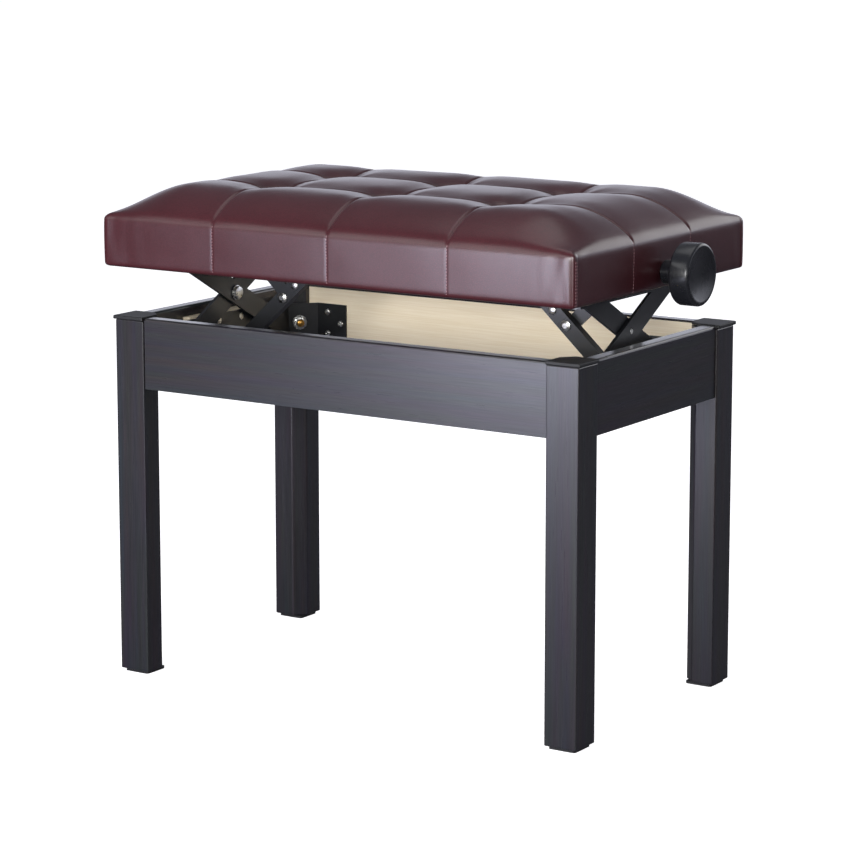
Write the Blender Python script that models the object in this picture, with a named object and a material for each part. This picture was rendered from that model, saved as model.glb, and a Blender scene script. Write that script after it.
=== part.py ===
"""Height-adjustable piano bench, modelled in metres with +Z up and +X to the sitter's right.

Four legs and four aprons are drawn together by steel corner brackets. Steel rails inside the
two end aprons carry a scissor at each end, and a left- and right-handed lead screw in the seat
pushes two drive arms apart, which lift the padded seat straight up.
"""
import math

import bmesh
import bpy
from mathutils import Matrix, Vector

MM = 0.001

# ---------------------------------------------------------------- driving dimensions
FRAME_LENGTH = 556 * MM          # over the legs, along X
FRAME_WIDTH = 314 * MM           # over the legs, along Y
FRAME_HEIGHT = 376 * MM          # floor to the top of a leg
FIT_GAP = 0.3 * MM               # between pieces that touch
WOOD_EDGE = 1.0 * MM             # softened edges of the wooden pieces

LEG_SECTION = 36 * MM
LEG_CHAMFER = 12 * MM            # flat on the inner corner, faced by the bracket
GLIDE_SIDE = 30 * MM
GLIDE_CORNER = 3 * MM
GLIDE_THICKNESS = 2.7 * MM
CAP_THICKNESS = 4 * MM
CAP_OVERHANG = 2 * MM

APRON_THICKNESS = 16 * MM
APRON_HEIGHT = 74 * MM
APRON_RISE = 3 * MM              # apron top above the leg top
APRON_SETBACK = 2 * MM           # apron face behind the leg face
APRON_TOP_ROUND = 2.5 * MM

BRACKET_SHEET = 2 * MM
BRACKET_HEIGHT = 42 * MM
BRACKET_FLANGE = 38 * MM
BRACKET_ABOVE_APRON = 13 * MM    # bracket's lower edge above the apron's lower edge
BRACKET_TO_LEG = 5 * MM          # from the plate to the leg's chamfer
HANGER_DIAMETER = 8 * MM
HANGER_IN_LEG = 22 * MM
HANGER_PROUD = 3 * MM            # bolt end past its nut
HANGER_NUT_FLATS = 13 * MM
HANGER_NUT_THICKNESS = 6.5 * MM

CLEAT_THICKNESS = 9.4 * MM
CLEAT_HEIGHT = 38 * MM
CLEAT_BELOW_APRON_TOP = 11 * MM
CLEAT_FROM_BRACKET = 3 * MM

STEEL_SHEET = 3 * MM             # rails, ears and clevises
RAIL_HEIGHT = 40 * MM            # base rail's web
RAIL_BELOW_CLEAT_TOP = 2 * MM
RAIL_FLANGE = 47 * MM
RAIL_END_MARGIN = 5 * MM         # steel left past the end of a slot
PIVOT_ABOVE_RAIL = 17.5 * MM     # lower pivots above the base rail's underside

LIFT_AT_REST = 88 * MM           # lower pivots to upper pivots, as stored
LIFT_DOWN = 48 * MM              # seat travel below rest
LIFT_UP = 28 * MM                # seat travel above rest

BAR_WIDTH = 22.5 * MM            # scissor bars
BAR_THICKNESS = 3.5 * MM
BAR_GAP = 0.5 * MM
BAR_END_CLEARANCE = 2 * MM       # lowest pose, bar end to the hanger bolts
STUD_DIAMETER = 6 * MM
STUD_SHORT = 0.2 * MM            # stud's end inside the outer face of the rail's web
BOSS_DIAMETER = 14 * MM
PIN_CLEARANCE = 0.3 * MM         # radial, every pin in its hole
PIN_PROUD = 2 * MM               # a drive pin's end past its ear
TOP_SLOT_PLAY = 4.4 * MM         # extra height of the seat rail's slots
SCISSOR_HEAD_FLATS = 13 * MM
SCISSOR_HEAD_THICKNESS = 4 * MM

DRIVE_HALF_SPAN = 48 * MM        # half an arm's reach along X at rest
DRIVE_FOOT_FROM_RAIL = 25 * MM   # foot pivot inboard of the base rail's web
ARM_WIDTH = 16 * MM
ARM_DEPTH = 10 * MM
ARM_SHEET = 2 * MM
LINK_WIDTH = 15 * MM
EAR_WIDTH = 18 * MM
EAR_GAP = 0.5 * MM
FOOT_PLATE_LENGTH = 30 * MM
FOOT_PLATE_WIDTH = 34 * MM
FOOT_PLATE_THICKNESS = 2.5 * MM
RIVET_HEAD_DIAMETER = 11 * MM
RIVET_HEAD_THICKNESS = 2.2 * MM

SCREW_DIAMETER = 10 * MM
SCREW_ABOVE_PIVOT = 18 * MM      # screw axis above the upper pivots
SCREW_COLLAR_DIAMETER = 16 * MM
SCREW_COLLAR_LENGTH = 5 * MM
SCREW_TAIL = 6 * MM              # left end past the rail
NUT_LENGTH = 22 * MM
NUT_ABOVE_PIVOT = 9.5 * MM       # underside of the nut's block above its pin
NUT_OVER_SCREW = 8 * MM          # nut's block above the screw's axis
BUSH_DIAMETER = 16 * MM
BUSH_FLANGE_DIAMETER = 22 * MM
BUSH_FLANGE_THICKNESS = 2 * MM
BUSH_PROUD = 2 * MM

SEAT_OVERHANG_X = 2 * MM         # upholstery past the legs, each end
SEAT_OVERHANG_Y = 15.5 * MM      # upholstery past the legs, each side
SEAT_RAIL_BELOW_PIVOT = 8.5 * MM
SEAT_RAIL_FLANGE = 41 * MM
SEAT_WOOD_ABOVE_PIVOT = 3.5 * MM
SEAT_WOOD_THICKNESS = 18 * MM
SEAT_WOOD_HEIGHT = 31 * MM
SEAT_WOOD_CORNER = 2.5 * MM
BOARD_THICKNESS = 9 * MM
COVER_THICKNESS = 1.7 * MM       # leather over the seat's wooden sides
COVER_CORNER = 4 * MM
COVER_LIP = 10 * MM              # leather turned under the wooden sides
CUSHION_SIDE = 13 * MM
CUSHION_CROWN = 29 * MM
CUSHION_CROWN_INSET = 60 * MM

KNOB_DIAMETER = 62 * MM
KNOB_THICKNESS = 22 * MM
KNOB_FROM_SEAT = 22 * MM
KNOB_EDGE = 2.5 * MM
KNOB_HUB_DIAMETER = 24 * MM
KNOB_HUB_GAP = 3 * MM            # hub's end to the upholstery
KNOB_BORE_DEPTH = 12 * MM
SHAFT_CLEARANCE = 0.9 * MM       # radial, the screw's end through the seat's side

# ---------------------------------------------------------------- worked-out positions
HALF_LENGTH = FRAME_LENGTH / 2
HALF_WIDTH = FRAME_WIDTH / 2
APRON_TOP = FRAME_HEIGHT + APRON_RISE
APRON_BOTTOM = APRON_TOP - APRON_HEIGHT
APRON_INNER_X = HALF_LENGTH - APRON_SETBACK - APRON_THICKNESS
APRON_INNER_Y = HALF_WIDTH - APRON_SETBACK - APRON_THICKNESS

BRACKET_LOW = APRON_BOTTOM + BRACKET_ABOVE_APRON
BRACKET_MID_Z = BRACKET_LOW + BRACKET_HEIGHT / 2
CHAMFER_SUM = HALF_LENGTH + HALF_WIDTH - 2 * LEG_SECTION + LEG_CHAMFER
PLATE_SUM = CHAMFER_SUM - math.sqrt(2) * (BRACKET_TO_LEG + BRACKET_SHEET / 2)
FLANGE_X = APRON_INNER_X - FIT_GAP - BRACKET_SHEET / 2
FLANGE_Y = APRON_INNER_Y - FIT_GAP - BRACKET_SHEET / 2
PLATE_MID_X = (FLANGE_X + PLATE_SUM - FLANGE_Y) / 2
PLATE_MID_Y = PLATE_SUM - PLATE_MID_X
NUT_CORNER_RADIUS = HANGER_NUT_FLATS / math.sqrt(3)
NUT_FACE_DEPTH = BRACKET_SHEET / 2 + FIT_GAP + HANGER_NUT_THICKNESS
HANGER_CLEAR_Y = PLATE_MID_Y - (NUT_FACE_DEPTH + NUT_CORNER_RADIUS) / math.sqrt(2)

CLEAT_TOP = APRON_TOP - CLEAT_BELOW_APRON_TOP
RAIL_OUTER_X = APRON_INNER_X - 2 * FIT_GAP - CLEAT_THICKNESS
RAIL_WEB_X = RAIL_OUTER_X - STEEL_SHEET
RAIL_TOP = CLEAT_TOP - RAIL_BELOW_CLEAT_TOP
RAIL_BOTTOM = RAIL_TOP - RAIL_HEIGHT
PIVOT_LOW_Z = RAIL_BOTTOM + PIVOT_ABOVE_RAIL
PIVOT_HIGH_Z = PIVOT_LOW_Z + LIFT_AT_REST
PIVOT_MID_Z = PIVOT_LOW_Z + LIFT_AT_REST / 2
LIFT_LOWEST = LIFT_AT_REST - LIFT_DOWN
LIFT_HIGHEST = LIFT_AT_REST + LIFT_UP

# The sliding foot of a scissor stops short of the hanger bolts when the seat is lowest.
SLIDE_LIMIT = HANGER_CLEAR_Y - BAR_END_CLEARANCE - BAR_WIDTH / 2
LIFT_TERM = LIFT_AT_REST ** 2 - LIFT_LOWEST ** 2
SCISSOR_HALF_SPAN = (SLIDE_LIMIT + math.sqrt(4 * SLIDE_LIMIT ** 2 - 3 * LIFT_TERM)) / 3
BAR_LENGTH = 2 * math.hypot(SCISSOR_HALF_SPAN, LIFT_AT_REST / 2)
SCISSOR_ANGLE = math.asin(LIFT_AT_REST / BAR_LENGTH)
SLIDE_NEAR = math.sqrt(BAR_LENGTH ** 2 - (LIFT_HIGHEST + TOP_SLOT_PLAY) ** 2) - SCISSOR_HALF_SPAN
OUTER_BAR_X = RAIL_WEB_X - BAR_GAP - BAR_THICKNESS / 2
INNER_BAR_X = OUTER_BAR_X - BAR_GAP - BAR_THICKNESS

DRIVE_FOOT_X = RAIL_WEB_X - DRIVE_FOOT_FROM_RAIL
ARM_LENGTH = 2 * math.hypot(DRIVE_HALF_SPAN, LIFT_AT_REST / 2)
ARM_ANGLE = math.asin(LIFT_AT_REST / ARM_LENGTH)
DRIVE_MID_X = DRIVE_FOOT_X - DRIVE_HALF_SPAN
DRIVE_NUT_X = DRIVE_FOOT_X - 2 * DRIVE_HALF_SPAN
EAR_INNER_Y = ARM_DEPTH / 2 + EAR_GAP
EAR_OUTER_Y = EAR_INNER_Y + STEEL_SHEET
LINK_NEAR_Y = ARM_DEPTH / 2 + FIT_GAP
LINK_FAR_Y = LINK_NEAR_Y + STEEL_SHEET
SEAT_EAR_NEAR_Y = LINK_FAR_Y + 2 * FIT_GAP
SEAT_EAR_FAR_Y = SEAT_EAR_NEAR_Y + STEEL_SHEET

SCREW_Z = PIVOT_HIGH_Z + SCREW_ABOVE_PIVOT
SEAT_HALF_LENGTH = HALF_LENGTH + SEAT_OVERHANG_X
SEAT_HALF_WIDTH = HALF_WIDTH + SEAT_OVERHANG_Y
WOOD_HALF_LENGTH = SEAT_HALF_LENGTH - COVER_THICKNESS - FIT_GAP
WOOD_HALF_WIDTH = SEAT_HALF_WIDTH - COVER_THICKNESS - FIT_GAP
SEAT_WOOD_LOW = PIVOT_HIGH_Z + SEAT_WOOD_ABOVE_PIVOT
SEAT_WOOD_TOP = SEAT_WOOD_LOW + SEAT_WOOD_HEIGHT
BOARD_LOW = SEAT_WOOD_TOP + FIT_GAP
BOARD_TOP = BOARD_LOW + BOARD_THICKNESS
CUSHION_LOW = BOARD_TOP + FIT_GAP
COVER_LOW = SEAT_WOOD_LOW - FIT_GAP - COVER_THICKNESS
KNOB_INNER_X = SEAT_HALF_LENGTH + KNOB_FROM_SEAT
KNOB_FACE_X = KNOB_INNER_X + KNOB_THICKNESS

# The knob stands out on one side only, so the bench is moved to centre its outline on X = 0.
BENCH_X = -(KNOB_FACE_X - SEAT_HALF_LENGTH) / 2

SIDES = {"left": -1, "right": 1}
ENDS = {"front": -1, "back": 1}


# ---------------------------------------------------------------- materials
def to_linear(value):
    """One sRGB channel, 0 to 255, as a linear value."""
    share = value / 255
    return share / 12.92 if share <= 0.04045 else ((share + 0.055) / 1.055) ** 2.4


def make_material(name, colour, roughness, metallic=0.0):
    """A Principled material in the given sRGB colour."""
    material = bpy.data.materials.new(name)
    material.use_nodes = True
    shader = material.node_tree.nodes["Principled BSDF"]
    rgb = [to_linear(int(colour[i:i + 2], 16)) for i in (0, 2, 4)]
    shader.inputs["Base Color"].default_value = (*rgb, 1.0)
    shader.inputs["Roughness"].default_value = roughness
    shader.inputs["Metallic"].default_value = metallic
    return material


# ---------------------------------------------------------------- outlines and solids
def arc(centre, radius, start, end, steps):
    """Points on an arc, angles in degrees."""
    angles = [math.radians(start + (end - start) * i / steps) for i in range(steps + 1)]
    return [(centre[0] + radius * math.cos(a), centre[1] + radius * math.sin(a)) for a in angles]


def rounded_rectangle(low_u, high_u, low_v, high_v, radius, steps=4):
    """A rectangle's outline with round corners, anticlockwise."""
    corners = [(high_u - radius, high_v - radius), (low_u + radius, high_v - radius),
               (low_u + radius, low_v + radius), (high_u - radius, low_v + radius)]
    points = []
    for quarter, centre in enumerate(corners):
        points += arc(centre, radius, 90 * quarter, 90 * quarter + 90, steps)
    return points


def slot_outline(low_u, high_u, centre_v, radius, steps=8):
    """A straight slot or bar with half-round ends, along u."""
    points = arc((high_u, centre_v), radius, -90, 90, steps)
    return points + arc((low_u, centre_v), radius, 90, 270, steps)


def to_space(plane, u, v, w):
    """A point (u, v) of a drawing plane, w along its normal."""
    return {"XY": (u, v, w), "XZ": (u, w, v), "YZ": (w, u, v)}[plane]


def prism(outline, low, high, plane="XY"):
    """A solid made by extruding a closed outline from low to high along the plane's normal."""
    mesh = bmesh.new()
    base = mesh.faces.new([mesh.verts.new(to_space(plane, u, v, low)) for u, v in outline])
    result = bmesh.ops.extrude_face_region(mesh, geom=[base])
    moved = [item for item in result["geom"] if isinstance(item, bmesh.types.BMVert)]
    bmesh.ops.translate(mesh, verts=moved, vec=Vector(to_space(plane, 0, 0, high - low)))
    bmesh.ops.recalc_face_normals(mesh, faces=mesh.faces)
    return mesh


def loft(sections):
    """A solid through level outlines with the same number of points, each (outline, height)."""
    mesh = bmesh.new()
    rings = [[mesh.verts.new((u, v, height)) for u, v in outline] for outline, height in sections]
    for lower, upper in zip(rings, rings[1:]):
        for i, vert in enumerate(lower):
            j = (i + 1) % len(lower)
            mesh.faces.new([vert, lower[j], upper[j], upper[i]])
    mesh.faces.new(rings[0])
    mesh.faces.new(rings[-1])
    bmesh.ops.recalc_face_normals(mesh, faces=mesh.faces)
    return mesh


def block(low, high):
    """A box between two corners."""
    outline = [(low[0], low[1]), (high[0], low[1]), (high[0], high[1]), (low[0], high[1])]
    return prism(outline, low[2], high[2])


def turned(profile, axis, steps=24):
    """A solid of revolution: the profile is a closed loop of (distance along axis, radius)."""
    mesh = bmesh.new()
    rings = []
    for along, radius in profile:
        count = steps if radius > 0 else 1
        angles = [2 * math.pi * i / steps for i in range(count)]
        rings.append([mesh.verts.new((along, radius * math.cos(a), radius * math.sin(a)))
                      for a in angles])
    for first, second in zip(rings, rings[1:] + rings[:1]):
        for i in range(steps):
            j = (i + 1) % steps
            corners = [first[i % len(first)], first[j % len(first)],
                       second[j % len(second)], second[i % len(second)]]
            face = list(dict.fromkeys(corners))
            if len(face) > 2:
                mesh.faces.new(face)
    bmesh.ops.recalc_face_normals(mesh, faces=mesh.faces)
    quarter = math.pi / 2
    turn = {"X": Matrix(), "Y": Matrix.Rotation(quarter, 4, "Z"), "Z": Matrix.Rotation(-quarter, 4, "Y")}
    bmesh.ops.transform(mesh, matrix=turn[axis], verts=mesh.verts)
    return mesh


def rod(low, high, radius, axis, steps=24):
    """A plain round bar from low to high along an axis."""
    return turned([(low, 0), (low, radius), (high, radius), (high, 0)], axis, steps)


def rivet(low, high, radius, axis="Y"):
    """A shank from low to high with a domed head past each end."""
    head = RIVET_HEAD_DIAMETER / 2
    crown = head / 2
    rise = RIVET_HEAD_THICKNESS
    brim = rise / 2
    profile = [(low - rise, 0), (low - rise, crown), (low - brim, head), (low, head), (low, radius),
               (high, radius), (high, head), (high + brim, head), (high + rise, crown), (high + rise, 0)]
    return turned(profile, axis)


# ---------------------------------------------------------------- placing
def add_empty(name, point, parent=None):
    """An empty at a point of the bench, which carries the pieces of one moving body."""
    empty = bpy.data.objects.new(name, None)
    bpy.context.scene.collection.objects.link(empty)
    empty["point"] = point
    attach(empty, point, parent)
    return empty


def attach(item, point, parent):
    """Put an item at a point of the bench, under a parent empty that may have its own point."""
    item.parent = parent
    offset = Vector(parent["point"]) if parent else Vector((0, 0, 0))
    item.location = Vector(point) - offset


def add_piece(name, mesh, point, parent, material, rotation=(0, 0, 0), smooth=False):
    """Make an object from a bmesh drawn about its own origin."""
    data = bpy.data.meshes.new(name)
    mesh.to_mesh(data)
    mesh.free()
    if smooth:
        data.shade_smooth()
        data.set_sharp_from_angle(angle=math.radians(35))
    piece = bpy.data.objects.new(name, data)
    bpy.context.scene.collection.objects.link(piece)
    data.materials.append(material)
    piece.rotation_euler = rotation
    attach(piece, point, parent)
    return piece


def soften(piece, width):
    """Round a piece's edges a little."""
    bevel = piece.modifiers.new("edges", "BEVEL")
    bevel.width = width
    bevel.segments = 2
    bevel.limit_method = "ANGLE"


def combine(piece, mesh, operation="DIFFERENCE"):
    """Cut a tool shape, drawn about the piece's origin, from the piece, or join it on."""
    data = bpy.data.meshes.new(piece.name + "_tool")
    mesh.to_mesh(data)
    mesh.free()
    tool = bpy.data.objects.new(piece.name + "_tool", data)
    bpy.context.scene.collection.objects.link(tool)
    tool.parent = piece
    tool.hide_render = True
    tool.display_type = "WIRE"
    modifier = piece.modifiers.new("tool", "BOOLEAN")
    modifier.operation = operation
    modifier.solver = "EXACT"
    modifier.object = tool


# ---------------------------------------------------------------- wooden frame
def build_leg(name, side, end, parent, looks):
    """One leg with its floor glide, its top cap and the hole for the hanger bolt."""
    half = LEG_SECTION / 2
    centre = (side * (HALF_LENGTH - half), end * (HALF_WIDTH - half), 0)
    cut = half - LEG_CHAMFER
    outline = [(side * half, end * half), (-side * half, end * half), (-side * half, -end * cut),
               (-side * cut, -end * half), (side * half, -end * half)]
    low = GLIDE_THICKNESS + FIT_GAP
    leg = add_piece("leg_" + name, prism(outline, low, FRAME_HEIGHT), centre, parent, looks["lacquer"])
    soften(leg, WOOD_EDGE)
    combine(leg, hanger_tool(side, end, centre))
    glide_half = GLIDE_SIDE / 2
    glide_outline = rounded_rectangle(-glide_half, glide_half, -glide_half, glide_half, GLIDE_CORNER)
    glide = prism(glide_outline, 0, GLIDE_THICKNESS)
    add_piece("foot_glide_" + name, glide, centre, parent, looks["black_plastic"])
    reach = half + CAP_OVERHANG
    cap_outline = [(side * reach, end * reach), (-side * half, end * reach), (-side * half, -end * cut),
                   (-side * cut, -end * half), (side * reach, -end * half)]
    cap_low = FRAME_HEIGHT + FIT_GAP
    cap = add_piece("leg_cap_" + name, prism(cap_outline, cap_low, cap_low + CAP_THICKNESS),
                    centre, parent, looks["black_plastic"])
    soften(cap, WOOD_EDGE)


def hanger_frame(side, end):
    """The turn that carries +X onto the line from a corner's bracket plate into its leg."""
    return Matrix.Rotation(math.atan2(end, side), 4, "Z")


def hanger_tool(side, end, centre):
    """The hole in a leg that the hanger bolt is screwed into."""
    radius = HANGER_DIAMETER / 2 + FIT_GAP
    depth = BRACKET_SHEET / 2 + BRACKET_TO_LEG + HANGER_IN_LEG + FIT_GAP
    mesh = rod(0, depth, radius, "X", 16)
    spot = Vector((side * PLATE_MID_X, end * PLATE_MID_Y, BRACKET_MID_Z)) - Vector(centre)
    matrix = Matrix.Translation(spot) @ hanger_frame(side, end)
    bmesh.ops.transform(mesh, matrix=matrix, verts=mesh.verts)
    return mesh


def build_long_apron(name, end, parent, looks):
    """The front or back apron, between two legs."""
    half = HALF_LENGTH - LEG_SECTION - FIT_GAP
    inner = APRON_INNER_Y
    profile = apron_profile(APRON_THICKNESS)
    points = [(end * u, v) for u, v in profile]
    mesh = prism(points, -half, half, "YZ")
    add_piece("apron_" + name, mesh, (0, end * inner, APRON_BOTTOM), parent, looks["lacquer"])


def build_end_apron(name, side, parent, looks):
    """The left or right apron, between two legs."""
    half = HALF_WIDTH - LEG_SECTION - FIT_GAP
    points = [(side * u, v) for u, v in apron_profile(APRON_THICKNESS)]
    mesh = prism(points, -half, half, "XZ")
    add_piece("apron_" + name, mesh, (side * APRON_INNER_X, 0, APRON_BOTTOM), parent, looks["lacquer"])


def apron_profile(thickness):
    """An apron's section with its top edges rounded, outwards along u and up along v."""
    radius = APRON_TOP_ROUND
    top = APRON_HEIGHT - radius
    points = [(0, 0), (thickness, 0)]
    points += arc((thickness - radius, top), radius, 0, 90, 3)
    return points + arc((radius, top), radius, 90, 180, 3)


def build_corner(name, side, end, parent, looks):
    """A bent steel bracket across one corner, with its hanger bolt and nut."""
    half = BRACKET_SHEET / 2
    corner_x = PLATE_SUM - FLANGE_Y
    corner_y = PLATE_SUM - FLANGE_X
    line = [(corner_x - BRACKET_FLANGE, FLANGE_Y), (corner_x, FLANGE_Y),
            (FLANGE_X, corner_y), (FLANGE_X, corner_y - BRACKET_FLANGE)]
    bend = half * math.tan(math.radians(22.5))
    outer = [(line[0][0], FLANGE_Y + half), (corner_x + bend, FLANGE_Y + half),
             (FLANGE_X + half, corner_y + bend), (FLANGE_X + half, line[3][1])]
    inner = [(FLANGE_X - half, line[3][1]), (FLANGE_X - half, corner_y - bend),
             (corner_x - bend, FLANGE_Y - half), (line[0][0], FLANGE_Y - half)]
    middle = (PLATE_MID_X, PLATE_MID_Y)
    outline = [(side * (x - middle[0]), end * (y - middle[1])) for x, y in outer + inner]
    low = -BRACKET_HEIGHT / 2
    spot = (side * middle[0], end * middle[1], BRACKET_MID_Z)
    mesh = prism(outline, low, -low)
    bracket = add_piece("corner_bracket_" + name, mesh, spot, parent, looks["black_steel"])
    reach = 2 * BRACKET_SHEET
    hole = rod(-reach, reach, HANGER_DIAMETER / 2 + FIT_GAP, "X", 16)
    bmesh.ops.transform(hole, matrix=hanger_frame(side, end), verts=hole.verts)
    combine(bracket, hole)
    radius = HANGER_DIAMETER / 2
    start = -NUT_FACE_DEPTH - HANGER_PROUD
    stop = half + BRACKET_TO_LEG + HANGER_IN_LEG
    turn = (0, 0, math.atan2(end, side))
    bolt = add_piece("hanger_bolt_" + name, rod(start, stop, radius, "X", 16), spot, parent,
                     looks["brass_plate"], turn, smooth=True)
    nut = rod(-NUT_FACE_DEPTH, -half - FIT_GAP, NUT_CORNER_RADIUS, "X", 6)
    combine(bolt, nut, "UNION")


def build_cleat(name, side, parent, looks):
    """The wooden strip inside an end apron that the base rail is screwed to."""
    bracket_end = PLATE_SUM - FLANGE_X - BRACKET_FLANGE
    half = bracket_end - CLEAT_FROM_BRACKET
    inner = RAIL_OUTER_X + FIT_GAP
    near, far = sorted((side * inner, side * (inner + CLEAT_THICKNESS)))
    mesh = block((near, -half, -CLEAT_HEIGHT), (far, half, 0))
    cleat = add_piece("rail_cleat_" + name, mesh, (0, 0, CLEAT_TOP), parent, looks["raw_wood"])
    soften(cleat, WOOD_EDGE / 2)


# ---------------------------------------------------------------- steel mechanism
def build_base_rail(name, side, parent, looks):
    """The angle rail at one end of the frame, with a pivot hole and a slot for the scissor."""
    half = SLIDE_LIMIT + STUD_DIAMETER / 2 + PIN_CLEARANCE + RAIL_END_MARGIN
    sheet = STEEL_SHEET
    points = [(0, 0), (0, RAIL_HEIGHT), (-sheet, RAIL_HEIGHT), (-sheet, sheet),
              (-RAIL_FLANGE, sheet), (-RAIL_FLANGE, 0)]
    mesh = prism([(side * u, v) for u, v in points], -half, half, "XZ")
    spot = (side * RAIL_OUTER_X, 0, RAIL_BOTTOM)
    rail = add_piece("base_rail_" + name, mesh, spot, parent, looks["black_steel"])
    radius = STUD_DIAMETER / 2 + PIN_CLEARANCE
    reach = 2 * sheet
    hole = rod(-reach, reach, radius, "X", 16)
    bmesh.ops.translate(hole, verts=hole.verts, vec=Vector((0, SCISSOR_HALF_SPAN, PIVOT_ABOVE_RAIL)))
    combine(rail, hole)
    slot = slot_outline(-SLIDE_LIMIT, -SLIDE_NEAR, PIVOT_ABOVE_RAIL, radius)
    combine(rail, prism(slot, -reach, reach, "YZ"))


def build_seat_rail(name, side, parent, looks):
    """The angle rail under one end of the seat, with the ear that the drive link is pinned to."""
    half = SLIDE_LIMIT + STUD_DIAMETER / 2 + PIN_CLEARANCE + RAIL_END_MARGIN
    sheet = STEEL_SHEET
    low = -SEAT_RAIL_BELOW_PIVOT
    high = SEAT_WOOD_TOP - PIVOT_HIGH_Z
    points = [(0, low), (0, high), (-SEAT_RAIL_FLANGE, high), (-SEAT_RAIL_FLANGE, high - sheet),
              (-sheet, high - sheet), (-sheet, low)]
    spot = (side * RAIL_OUTER_X, 0, PIVOT_HIGH_Z)
    mesh = prism([(side * u, v) for u, v in points], -half, half, "XZ")
    rail = add_piece("seat_rail_" + name, mesh, spot, parent, looks["black_steel"])
    foot = -(RAIL_OUTER_X - DRIVE_FOOT_X)
    ear = arc((foot, 0), EAR_WIDTH / 2, 180, 360, 10)
    ear += [(foot + EAR_WIDTH / 2, high - sheet / 2), (foot - EAR_WIDTH / 2, high - sheet / 2)]
    combine(rail, prism([(side * u, v) for u, v in ear], SEAT_EAR_NEAR_Y, SEAT_EAR_FAR_Y, "XZ"), "UNION")
    radius = STUD_DIAMETER / 2 + PIN_CLEARANCE
    pin_hole = rod(SEAT_EAR_NEAR_Y - sheet, SEAT_EAR_FAR_Y + sheet, radius, "Y", 16)
    bmesh.ops.translate(pin_hole, verts=pin_hole.verts, vec=Vector((side * foot, 0, 0)))
    combine(rail, pin_hole)
    reach = 2 * sheet
    top = TOP_SLOT_PLAY + radius
    corner = radius - FIT_GAP
    for first, last in ((SCISSOR_HALF_SPAN, SCISSOR_HALF_SPAN), (-SLIDE_LIMIT, -SLIDE_NEAR)):
        slot = rounded_rectangle(first - radius, last + radius, -radius, top, corner)
        combine(rail, prism(slot, -reach, reach, "YZ"))
    bush_hole = rod(-reach, reach, BUSH_DIAMETER / 2 + FIT_GAP, "X")
    bmesh.ops.translate(bush_hole, verts=bush_hole.verts, vec=Vector((0, 0, SCREW_ABOVE_PIVOT)))
    combine(rail, bush_hole)


def bar_stud(plane_x, side):
    """The stud riveted in a bar's end, with a boss where another bar's plane lies in between."""
    root = BAR_THICKNESS / 4
    web = RAIL_WEB_X - FIT_GAP - plane_x
    tip = RAIL_OUTER_X - STUD_SHORT - plane_x
    stud = STUD_DIAMETER / 2
    boss = BOSS_DIAMETER / 2
    profile = [(root, 0), (root, stud), (tip, stud), (tip, 0)]
    if web - BAR_THICKNESS / 2 > BAR_GAP:
        profile = [(root, 0), (root, boss), (web, boss), (web, stud), (tip, stud), (tip, 0)]
    return turned([(side * along, radius) for along, radius in profile], "X", 16)


def scissor_bar(slope, plane_x, side):
    """A flat bar in its own YZ plane, about its middle pivot, and the studs for its two ends."""
    half = BAR_LENGTH / 2
    thick = BAR_THICKNESS / 2
    bar = prism(slot_outline(-half, half, 0, BAR_WIDTH / 2), -thick, thick, "YZ")
    studs = []
    for sign in (-1, 1):
        stud = bar_stud(plane_x, side)
        bmesh.ops.translate(stud, verts=stud.verts, vec=Vector((0, sign * half, 0)))
        studs.append(stud)
    for shape in [bar] + studs:
        bmesh.ops.rotate(shape, verts=shape.verts, matrix=Matrix.Rotation(slope, 3, "X"))
    return bar, studs


def build_scissor(name, side, empties, looks):
    """The two crossed bars at one end of the bench, and the bolt through their middle."""
    hole_reach = 2 * BAR_THICKNESS
    bars = (("inner", -SCISSOR_ANGLE, INNER_BAR_X), ("outer", SCISSOR_ANGLE, OUTER_BAR_X))
    for which, slope, plane_x in bars:
        mesh, studs = scissor_bar(slope, plane_x, side)
        spot = (side * plane_x, 0, PIVOT_MID_Z)
        bar = add_piece("scissor_" + which + "_" + name, mesh, spot, empties[which], looks["black_steel"])
        for stud in studs:
            combine(bar, stud, "UNION")
        combine(bar, rod(-hole_reach, hole_reach, STUD_DIAMETER / 2 + PIN_CLEARANCE, "X", 16))
    thick = BAR_THICKNESS / 2
    head_low = INNER_BAR_X - thick - FIT_GAP
    radius = SCISSOR_HEAD_FLATS / math.sqrt(3)
    shank_end = OUTER_BAR_X + thick
    shank = rod(side * (head_low - SCISSOR_HEAD_THICKNESS / 2), side * shank_end, STUD_DIAMETER / 2, "X", 16)
    bmesh.ops.recalc_face_normals(shank, faces=shank.faces)
    bolt = add_piece("scissor_bolt_" + name, shank, (0, 0, PIVOT_MID_Z), empties["inner"], looks["zinc"])
    head = rod(side * (head_low - SCISSOR_HEAD_THICKNESS), side * head_low, radius, "X", 6)
    bmesh.ops.recalc_face_normals(head, faces=head.faces)
    combine(bolt, head, "UNION")


def ear_outline(width, base_v):
    """An ear with a half-round end about its pin, reaching to v = base_v."""
    sign = 1 if base_v > 0 else -1
    start = 180 if sign > 0 else 0
    points = arc((0, 0), width / 2, start, start + 180, 10)
    return points + [(sign * width / 2, base_v), (-sign * width / 2, base_v)]


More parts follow.
